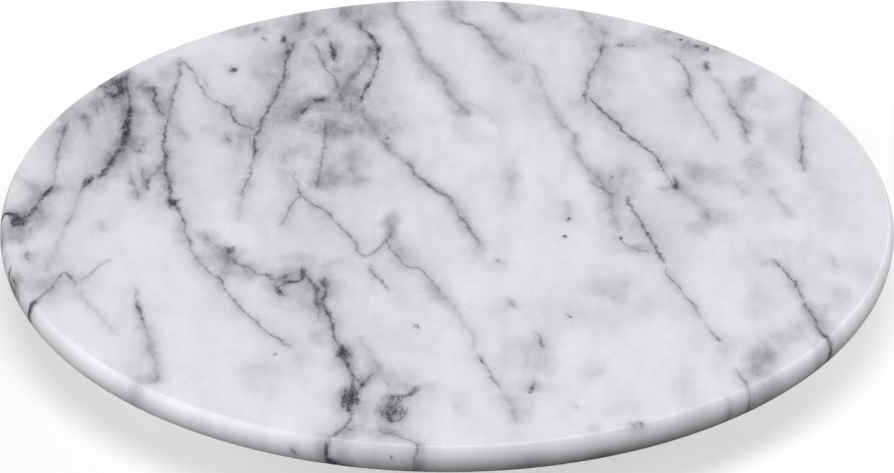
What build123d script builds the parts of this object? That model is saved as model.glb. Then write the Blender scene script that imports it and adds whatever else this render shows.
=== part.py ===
from build123d import *
import os
from math import cos, radians, sin, sqrt

# Stone lazy susan turntable, in millimetres, +Z up. The origin is on the axis of rotation, in the plane
# that the feet stand on. A round marble slab turns on a stamped-steel ball bearing, which is screwed to
# a smaller wooden base disc on four rubber feet. Each function below makes one loose piece.

# ---- Driving dimensions -------------------------------------------------------------------------------

# Marble slab: a flat disc with a bowed edge, drilled from below for four threaded inserts.
SLAB_DIAMETER = 305.0
SLAB_THICKNESS = 10.0
EDGE_BOW = 1.7            # the edge's middle stands this far outside the rim of each flat face
ARRIS_RADIUS = 0.4        # the rim of each flat face is eased

# Wooden base disc.
BASE_DIAMETER = 200.0
BASE_THICKNESS = 8.0
BASE_EDGE_RADIUS = 3.0
DRIVER_HOLE_DIAMETER = 14.0   # a screwdriver goes up this hole to the upper screws
DRIVER_HOLE_ANGLE = 22.5

# Rubber feet.
FOOT_COUNT = 4
FOOT_CIRCLE_RADIUS = 84.0
FOOT_HEIGHT = 5.0
FOOT_TOP_RADIUS = 11.0
FOOT_BOTTOM_RADIUS = 9.6
FOOT_EDGE_RADIUS = 0.8
FOOT_POCKET_RADIUS = 5.6
FOOT_POCKET_DEPTH = 3.0
FOOT_HOLE_RADIUS = 2.1

# Ball bearing: two stamped steel rings, a nylon cage and 3/16 inch balls.
BEARING_HEIGHT = 8.0
BEARING_OUTER_RADIUS = 76.0
SHEET_THICKNESS = 1.2
BALL_COUNT = 24
BALL_RADIUS = 4.76 / 2
BALL_CIRCLE_RADIUS = 55.0
BALL_CLEARANCE = 0.07
RIDGE_OFFSET = 2.9        # from the ball circle to the crest of the ridge on each side of the groove
RIDGE_BEND_RADIUS = 1.0
FLANGE_BEND_RADIUS = 1.2
LIP_INNER_RADIUS = 48.3   # the lower ring's inner edge
COLLAR_RADIUS = 46.6      # the upper ring's collar, at mid-thickness
COLLAR_FLARE_RADIUS = 49.4
COLLAR_FLARE_HEIGHT = 1.05
COLLAR_BEND_RADIUS = 1.0
BEARING_SCREW_RADIUS = 68.0
BEARING_SCREW_COUNT = 4
RING_SCREW_TURN = 45.0    # the lower ring's screws sit between the upper ones
SCREW_HOLE_RADIUS = 2.3
RING_DRIVER_HOLE_RADIUS = 6.0

CAGE_THICKNESS = 1.0
CAGE_BAND_WIDTH = 3.6
CAGE_POCKET_RADIUS = 2.5
CAGE_LOBE_RADIUS = 3.6

# Foam gasket between the upper ring and the stone.
GASKET_THICKNESS = 1.0
GASKET_INNER_RADIUS = 61.0
GASKET_OUTER_RADIUS = 75.5
GASKET_HOLE_RADIUS = 2.6

# Brass inserts, bonded into blind holes in the stone.
INSERT_RADIUS = 3.2
INSERT_LENGTH = 6.0
INSERT_BORE_RADIUS = 2.06
INSERT_GROOVE_DEPTH = 0.4
INSERT_GROOVE_WIDTH = 0.9
INSERT_GROOVE_STARTS = (1.5, 3.7)   # height of each outer groove's lower edge above the insert's mouth
STONE_HOLE_RADIUS = 3.3
STONE_HOLE_DEPTH = 6.4

# Fasteners: shank radius, length under the head, head radius, head height, thread pitch.
MACHINE_SCREW = dict(shank=2.0, length=8.0, head=4.5, height=2.0, pitch=0.7, tip=0.5)
RING_WOOD_SCREW = dict(shank=2.1, length=8.0, head=4.2, height=1.8, pitch=1.5, tip=3.0)
FOOT_WOOD_SCREW = dict(shank=1.75, length=8.0, head=4.0, height=1.8, pitch=1.3, tip=2.5)
HEAD_RIM_HEIGHT = 0.4
THREAD_DEPTH = 0.3
RECESS_WIDTH = 0.9
RECESS_LENGTH = 4.0
RECESS_DEPTH = 1.1
TIP_RADIUS = 0.25
PILOT_CLEARANCE = 0.05    # between a screw's shank and the wood around it
PILOT_EXTRA_DEPTH = 0.5

LOCK_WASHER = dict(inner=2.1, outer=3.6, thickness=0.8)
LOCK_WASHER_SPLIT = 0.8
FOOT_WASHER = dict(inner=2.0, outer=5.0, thickness=0.6)

# ---- Heights and angles that follow from them ---------------------------------------------------------

BASE_Z = FOOT_HEIGHT
BEARING_Z = BASE_Z + BASE_THICKNESS
GASKET_Z = BEARING_Z + BEARING_HEIGHT
SLAB_Z = GASKET_Z + GASKET_THICKNESS
BALL_Z = BEARING_Z + BEARING_HEIGHT / 2
FOOT_ANGLES = [i * 360 / FOOT_COUNT for i in range(FOOT_COUNT)]
STONE_SCREW_ANGLES = [i * 360 / BEARING_SCREW_COUNT for i in range(BEARING_SCREW_COUNT)]
RING_SCREW_ANGLES = [RING_SCREW_TURN + angle for angle in STONE_SCREW_ANGLES]
BALL_ANGLES = [i * 360 / BALL_COUNT for i in range(BALL_COUNT)]


# ---- Helpers ------------------------------------------------------------------------------------------

def on_circle(radius, angle, z):
    """The place at this radius, angle in degrees and height."""
    return Pos(radius * cos(radians(angle)), radius * sin(radians(angle)), z)


def upright_hole(radius, depth, top_z):
    """A cylinder that cuts a hole of this depth, its top at top_z."""
    return Pos(0, 0, top_z) * Cylinder(radius, depth, align=(Align.CENTER, Align.CENTER, Align.MAX))


def turned(*edges):
    """The solid of revolution about Z of a closed outline drawn in the XZ plane."""
    return revolve(make_face(Curve() + list(edges)), Axis.Z)


def xz(points):
    """Points given as (radius, height) in the XZ plane."""
    return [(r, 0, z) for r, z in points]


def stamped_ring(points, radii):
    """A ring of sheet steel whose mid-surface follows these (radius, height) points, with bends."""
    path = FilletPolyline(*[(r, z) for r, z in points], radius=radii)
    section = trace(path, SHEET_THICKNESS)
    return revolve(Rot(90, 0, 0) * section, Axis.Z)


def mirrored(points):
    """The same points turned upside down about the bearing's middle plane."""
    return [(r, BEARING_HEIGHT - z) for r, z in points]


# ---- Fasteners ----------------------------------------------------------------------------------------

def screw(shank, length, head, height, pitch, tip):
    """A low domed screw with its head's seat at Z 0 and its tip below. Its thread is drawn as rings."""
    outline = [(0, -length), (TIP_RADIUS, -length), (shank - THREAD_DEPTH, tip - length)]
    z = tip - length
    while z + pitch < -pitch:
        outline += [(shank, z + pitch / 2), (shank - THREAD_DEPTH, z + pitch)]
        z += pitch
    outline += [(shank, z + pitch / 2), (shank, 0), (head, 0), (head, HEAD_RIM_HEIGHT)]
    dome = height - HEAD_RIM_HEIGHT
    dome_radius = (head ** 2 + dome ** 2) / (2 * dome)
    slope = head / dome_radius
    halfway = (dome_radius * slope / 2, 0, height - dome_radius + dome_radius * sqrt(1 - slope ** 2 / 4))
    body = turned(
        Polyline(*xz(outline)),
        ThreePointArc((head, 0, HEAD_RIM_HEIGHT), halfway, (0, 0, height)),
        Line((0, 0, height), (0, 0, -length)),
    )
    slot = Pos(0, 0, height) * Box(
        RECESS_LENGTH, RECESS_WIDTH, RECESS_DEPTH, align=(Align.CENTER, Align.CENTER, Align.MAX)
    )
    return body - slot - Rot(0, 0, 90) * slot


def pilot(shank, length, **_):
    """The hole that a screw of this size fills, from Z 0 down."""
    return upright_hole(shank + PILOT_CLEARANCE, length + PILOT_EXTRA_DEPTH, 0)


def washer(inner, outer, thickness):
    """A flat washer from Z 0 up."""
    disc = Cylinder(outer, thickness, align=(Align.CENTER, Align.CENTER, Align.MIN))
    return disc - Cylinder(inner, thickness, align=(Align.CENTER, Align.CENTER, Align.MIN))


def lock_washer():
    """A split spring washer from Z 0 up."""
    split = Pos(LOCK_WASHER["outer"], 0, 0) * Box(
        LOCK_WASHER["outer"] * 2, LOCK_WASHER_SPLIT, LOCK_WASHER["thickness"] * 3
    )
    return washer(**LOCK_WASHER) - split


# ---- Turning pieces -----------------------------------------------------------------------------------

def marble_slab():
    """The disc with its bowed edge and eased arrises, and four blind holes in its underside."""
    radius = SLAB_DIAMETER / 2
    face_radius = radius - EDGE_BOW
    blank = turned(
        Line((0, 0, SLAB_Z), (face_radius, 0, SLAB_Z)),
        ThreePointArc(
            (face_radius, 0, SLAB_Z),
            (radius, 0, SLAB_Z + SLAB_THICKNESS / 2),
            (face_radius, 0, SLAB_Z + SLAB_THICKNESS),
        ),
        Line((face_radius, 0, SLAB_Z + SLAB_THICKNESS), (0, 0, SLAB_Z + SLAB_THICKNESS)),
        Line((0, 0, SLAB_Z + SLAB_THICKNESS), (0, 0, SLAB_Z)),
    )
    slab = fillet(blank.edges().filter_by(GeomType.CIRCLE), ARRIS_RADIUS)
    for angle in STONE_SCREW_ANGLES:
        slab -= on_circle(BEARING_SCREW_RADIUS, angle, SLAB_Z) * upright_hole(
            STONE_HOLE_RADIUS, STONE_HOLE_DEPTH, STONE_HOLE_DEPTH
        )
    return slab


def stone_insert(angle):
    """A brass bush with two grooves outside, flush with the stone's underside."""
    waist = INSERT_RADIUS - INSERT_GROOVE_DEPTH
    outline = [(INSERT_BORE_RADIUS, 0), (INSERT_RADIUS, 0)]
    for start in INSERT_GROOVE_STARTS:
        end = start + INSERT_GROOVE_WIDTH
        outline += [(INSERT_RADIUS, start), (waist, start), (waist, end), (INSERT_RADIUS, end)]
    outline += [(INSERT_RADIUS, INSERT_LENGTH), (INSERT_BORE_RADIUS, INSERT_LENGTH)]
    bush = turned(Polyline(*xz(outline), close=True))
    return on_circle(BEARING_SCREW_RADIUS, angle, SLAB_Z) * bush


def cushion_gasket():
    """A flat foam ring with a hole for each upper screw."""
    ring = washer(GASKET_INNER_RADIUS, GASKET_OUTER_RADIUS, GASKET_THICKNESS)
    for angle in STONE_SCREW_ANGLES:
        ring -= on_circle(BEARING_SCREW_RADIUS, angle, 0) * upright_hole(
            GASKET_HOLE_RADIUS, GASKET_THICKNESS, GASKET_THICKNESS
        )
    return Pos(0, 0, GASKET_Z) * ring


def groove_points():
    """The lower ring's mid-surface from its outer edge to the inner ridge: flange, ridge, ball groove."""
    flat = SHEET_THICKNESS / 2
    groove_radius = BALL_RADIUS + BALL_CLEARANCE + flat
    apex = BEARING_HEIGHT / 2 - groove_radius * sqrt(2)
    crest = apex + RIDGE_OFFSET
    return [
        (BEARING_OUTER_RADIUS, flat),
        (BALL_CIRCLE_RADIUS + RIDGE_OFFSET + crest - flat, flat),
        (BALL_CIRCLE_RADIUS + RIDGE_OFFSET, crest),
        (BALL_CIRCLE_RADIUS, apex),
        (BALL_CIRCLE_RADIUS - RIDGE_OFFSET, crest),
    ]


def groove_bends():
    """The bend radius at each inner point of groove_points()."""
    groove_radius = BALL_RADIUS + BALL_CLEARANCE + SHEET_THICKNESS / 2
    return [FLANGE_BEND_RADIUS, RIDGE_BEND_RADIUS, groove_radius, RIDGE_BEND_RADIUS]


def bearing_upper_ring():
    """The ring that turns. Its collar goes down inside the lower ring and is flared under its lip."""
    points = mirrored(groove_points())
    web = points[-1][1]
    points += [
        (COLLAR_RADIUS, web),
        (COLLAR_RADIUS, COLLAR_FLARE_HEIGHT),
        (COLLAR_FLARE_RADIUS, COLLAR_FLARE_HEIGHT),
    ]
    ring = stamped_ring(points, groove_bends() + [COLLAR_BEND_RADIUS, COLLAR_BEND_RADIUS])
    for angle in STONE_SCREW_ANGLES:
        ring -= on_circle(BEARING_SCREW_RADIUS, angle, BEARING_HEIGHT) * upright_hole(
            SCREW_HOLE_RADIUS, SHEET_THICKNESS, 0
        )
    return Pos(0, 0, BEARING_Z) * ring


def upper_screws():
    """Four machine screws, heads down, that hold the upper ring to the inserts in the stone."""
    seat = GASKET_Z - SHEET_THICKNESS - LOCK_WASHER["thickness"]
    return Compound(children=[
        on_circle(BEARING_SCREW_RADIUS, angle, seat) * Rot(180, 0, 0) * screw(**MACHINE_SCREW)
        for angle in STONE_SCREW_ANGLES
    ])


def upper_lock_washers():
    """A split washer under each upper screw's head."""
    seat = GASKET_Z - SHEET_THICKNESS - LOCK_WASHER["thickness"]
    return Compound(children=[
        on_circle(BEARING_SCREW_RADIUS, angle, seat) * Rot(0, 0, angle) * lock_washer()
        for angle in STONE_SCREW_ANGLES
    ])


# ---- Pieces that roll between --------------------------------------------------------------------------

def ball_cage():
    """A flat nylon band, widened to a lobe round each ball's pocket."""
    band = washer(
        BALL_CIRCLE_RADIUS - CAGE_BAND_WIDTH / 2, BALL_CIRCLE_RADIUS + CAGE_BAND_WIDTH / 2, CAGE_THICKNESS
    )
    lobe = Cylinder(CAGE_LOBE_RADIUS, CAGE_THICKNESS, align=(Align.CENTER, Align.CENTER, Align.MIN))
    band += [on_circle(BALL_CIRCLE_RADIUS, angle, 0) * lobe for angle in BALL_ANGLES]
    pocket = Sphere(CAGE_POCKET_RADIUS)
    band -= [on_circle(BALL_CIRCLE_RADIUS, angle, CAGE_THICKNESS / 2) * pocket for angle in BALL_ANGLES]
    return Pos(0, 0, BALL_Z - CAGE_THICKNESS / 2) * band


def bearing_ball(angle):
    """One steel ball."""
    return on_circle(BALL_CIRCLE_RADIUS, angle, BALL_Z) * Sphere(BALL_RADIUS)


# ---- Fixed pieces -------------------------------------------------------------------------------------

def bearing_lower_ring():
    """The ring that stays still, with its screw holes and a larger hole for the screwdriver."""
    points = groove_points()
    points.append((LIP_INNER_RADIUS, points[-1][1]))
    ring = stamped_ring(points, groove_bends())
    for angle in RING_SCREW_ANGLES:
        ring -= on_circle(BEARING_SCREW_RADIUS, angle, SHEET_THICKNESS) * upright_hole(
            SCREW_HOLE_RADIUS, SHEET_THICKNESS, 0
        )
    ring -= on_circle(BEARING_SCREW_RADIUS, DRIVER_HOLE_ANGLE, SHEET_THICKNESS) * upright_hole(
        RING_DRIVER_HOLE_RADIUS, SHEET_THICKNESS, 0
    )
    return Pos(0, 0, BEARING_Z) * ring


def lower_screws():
    """Four wood screws that hold the lower ring to the base disc."""
    return Compound(children=[
        on_circle(BEARING_SCREW_RADIUS, angle, BEARING_Z + SHEET_THICKNESS) * screw(**RING_WOOD_SCREW)
        for angle in RING_SCREW_ANGLES
    ])


def base_disc():
    """The wooden disc with rounded edges, pilot holes from both sides and the screwdriver's hole."""
    disc = Cylinder(BASE_DIAMETER / 2, BASE_THICKNESS, align=(Align.CENTER, Align.CENTER, Align.MIN))
    disc = fillet(disc.edges().filter_by(GeomType.CIRCLE), BASE_EDGE_RADIUS)
    for angle in RING_SCREW_ANGLES:
        disc -= on_circle(BEARING_SCREW_RADIUS, angle, BASE_THICKNESS + SHEET_THICKNESS) * pilot(
            **RING_WOOD_SCREW
        )
    foot_screw_seat = FOOT_POCKET_DEPTH - FOOT_WASHER["thickness"] - FOOT_HEIGHT
    for angle in FOOT_ANGLES:
        disc -= on_circle(FOOT_CIRCLE_RADIUS, angle, foot_screw_seat) * Rot(180, 0, 0) * pilot(
            **FOOT_WOOD_SCREW
        )
    disc -= on_circle(BEARING_SCREW_RADIUS, DRIVER_HOLE_ANGLE, BASE_THICKNESS) * upright_hole(
        DRIVER_HOLE_DIAMETER / 2, BASE_THICKNESS, 0
    )
    return Pos(0, 0, BASE_Z) * disc


def rubber_foot(angle):
    """A tapered rubber foot with a pocket below for its washer and screw."""
    outer = turned(
        Line((0, 0, 0), (FOOT_BOTTOM_RADIUS, 0, 0)),
        Line((FOOT_BOTTOM_RADIUS, 0, 0), (FOOT_TOP_RADIUS, 0, FOOT_HEIGHT)),
        Line((FOOT_TOP_RADIUS, 0, FOOT_HEIGHT), (0, 0, FOOT_HEIGHT)),
        Line((0, 0, FOOT_HEIGHT), (0, 0, 0)),
    )
    outer = fillet(outer.edges().filter_by(GeomType.CIRCLE).group_by(Axis.Z)[0], FOOT_EDGE_RADIUS)
    outer -= upright_hole(FOOT_POCKET_RADIUS, FOOT_POCKET_DEPTH, FOOT_POCKET_DEPTH)
    outer -= upright_hole(FOOT_HOLE_RADIUS, FOOT_HEIGHT, FOOT_HEIGHT)
    return on_circle(FOOT_CIRCLE_RADIUS, angle, 0) * outer


def foot_washers():
    """A steel washer in each foot's pocket."""
    seat = FOOT_POCKET_DEPTH - FOOT_WASHER["thickness"]
    return Compound(children=[
        on_circle(FOOT_CIRCLE_RADIUS, angle, seat) * washer(**FOOT_WASHER) for angle in FOOT_ANGLES
    ])


def foot_screws():
    """A wood screw up through each foot, its head inside the pocket."""
    seat = FOOT_POCKET_DEPTH - FOOT_WASHER["thickness"]
    return Compound(children=[
        on_circle(FOOT_CIRCLE_RADIUS, angle, seat) * Rot(180, 0, 0) * screw(**FOOT_WOOD_SCREW)
        for angle in FOOT_ANGLES
    ])


# ---- Nodes ----------------------------------------------------------------------------------------------

def all_nodes():
    """Every piece by its node's name."""
    nodes = {
        "marble_slab": marble_slab(),
        "cushion_gasket": cushion_gasket(),
        "bearing_upper_ring": bearing_upper_ring(),
        "upper_screws": upper_screws(),
        "upper_lock_washers": upper_lock_washers(),
        "ball_cage": ball_cage(),
        "bearing_lower_ring": bearing_lower_ring(),
        "lower_screws": lower_screws(),
        "base_disc": base_disc(),
        "foot_washers": foot_washers(),
        "foot_screws": foot_screws(),
    }
    for i, angle in enumerate(STONE_SCREW_ANGLES, 1):
        nodes[f"stone_insert_{i}"] = stone_insert(angle)
    for i, angle in enumerate(BALL_ANGLES, 1):
        nodes[f"bearing_ball_{i:02d}"] = bearing_ball(angle)
    for i, angle in enumerate(FOOT_ANGLES, 1):
        nodes[f"rubber_foot_{i}"] = rubber_foot(angle)
    return nodes


os.makedirs("parts", exist_ok=True)
for name, shape in all_nodes().items():
    export_step(shape, f"parts/{name}.step")
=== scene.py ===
import random
from math import atan2, cos, pi, radians, sin, sqrt

import bmesh
import bpy
import numpy as np
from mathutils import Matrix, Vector, noise
from mathutils.geometry import delaunay_2d_cdt


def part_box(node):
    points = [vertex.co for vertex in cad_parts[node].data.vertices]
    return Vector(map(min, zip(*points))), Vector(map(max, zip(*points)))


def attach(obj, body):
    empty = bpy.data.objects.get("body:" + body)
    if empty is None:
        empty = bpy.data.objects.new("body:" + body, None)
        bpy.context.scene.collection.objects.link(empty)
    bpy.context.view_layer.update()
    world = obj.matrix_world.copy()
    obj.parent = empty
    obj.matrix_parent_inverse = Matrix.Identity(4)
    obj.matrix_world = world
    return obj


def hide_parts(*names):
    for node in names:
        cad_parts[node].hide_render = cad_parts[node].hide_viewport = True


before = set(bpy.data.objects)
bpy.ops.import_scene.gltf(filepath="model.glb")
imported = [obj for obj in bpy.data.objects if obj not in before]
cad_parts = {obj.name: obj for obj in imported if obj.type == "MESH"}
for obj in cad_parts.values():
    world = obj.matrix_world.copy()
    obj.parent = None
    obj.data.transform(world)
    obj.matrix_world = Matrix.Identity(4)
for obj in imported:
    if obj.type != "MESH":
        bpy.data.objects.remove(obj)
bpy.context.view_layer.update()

# The marble's veins are drawn on a plan of its top face: x to the right, y away from the viewer, in
# millimetres from the axis. Everything that is built goes into Blender in metres.
MM = 0.001
SEED = 5                  # of the rim's chips and of the clouds' uneven outlines

# ---- The slab's shape, in millimetres -------------------------------------------------------------------

EDGE_BOW = 1.7            # the edge's middle stands this far outside the rim of each flat face
ARRIS = 0.4               # radius of the eased rim
RIM_STEPS = 1440          # points round the rim
ARRIS_STEPS = 5
BOW_STEPS = 14
TOP_GRID = 1.5            # spacing of the points that carry the veins
BOTTOM_GRID = 3.0
RIM_MARGIN = 0.2          # a ring this far inside the rim keeps the flat face flat up to it
HOLE_RADIUS = 3.3         # the blind holes for the threaded inserts
HOLE_DEPTH = 6.4
HOLE_CIRCLE = 68.0
HOLE_STEPS = 40
HOLE_COUNT = 4
SOFT_ANGLE = radians(50)  # a sharper fold than this is shaded as a crease

# The rim is eased by hand, so it is worn unevenly and has small chips.
WAVE_DEPTH = 0.05
WAVE_LOOP = 9             # radius of the circle walked through the noise: larger means shorter waves
CHIP_COUNT = 46
CHIP_HALF_LENGTH = (0.5, 1.5)
CHIP_DEPTH = (0.06, 0.24)
DEEP_CHIP_DEPTH = (0.25, 0.42)
SHALLOW_SHARE = 0.85      # of the chips
CHIP_RADIUS = 150.0       # near enough the rim's radius to turn a chip's length into points
WEAR_INWARD = 0.8         # how far wear moves a point towards the axis, and towards the edge's middle
WEAR_ALONG = 0.6
SHOULDER_WEAR = 0.35      # share of the wear that reaches the rows next to the arris

# ---- The marble's pattern, in millimetres ---------------------------------------------------------------

# A vein's kind: half-width of the dark line and its darkness, then reach and strength of the grey shadow
# close to it, and of the paler haze further out.
KINDS = {
    "bold": (1.00, 0.95, 3.4, 0.50, 10.0, 0.34),
    "dark": (0.52, 0.80, 2.1, 0.32, 8.0, 0.22),
    "line": (0.44, 0.54, 1.8, 0.24, 6.5, 0.14),
    "thin": (0.36, 0.38, 1.6, 0.16, 5.0, 0.09),
    "soft": (0.85, 0.26, 2.6, 0.30, 6.5, 0.14),
    "mist": (0.65, 0.15, 2.3, 0.18, 5.5, 0.08),
}

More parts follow.
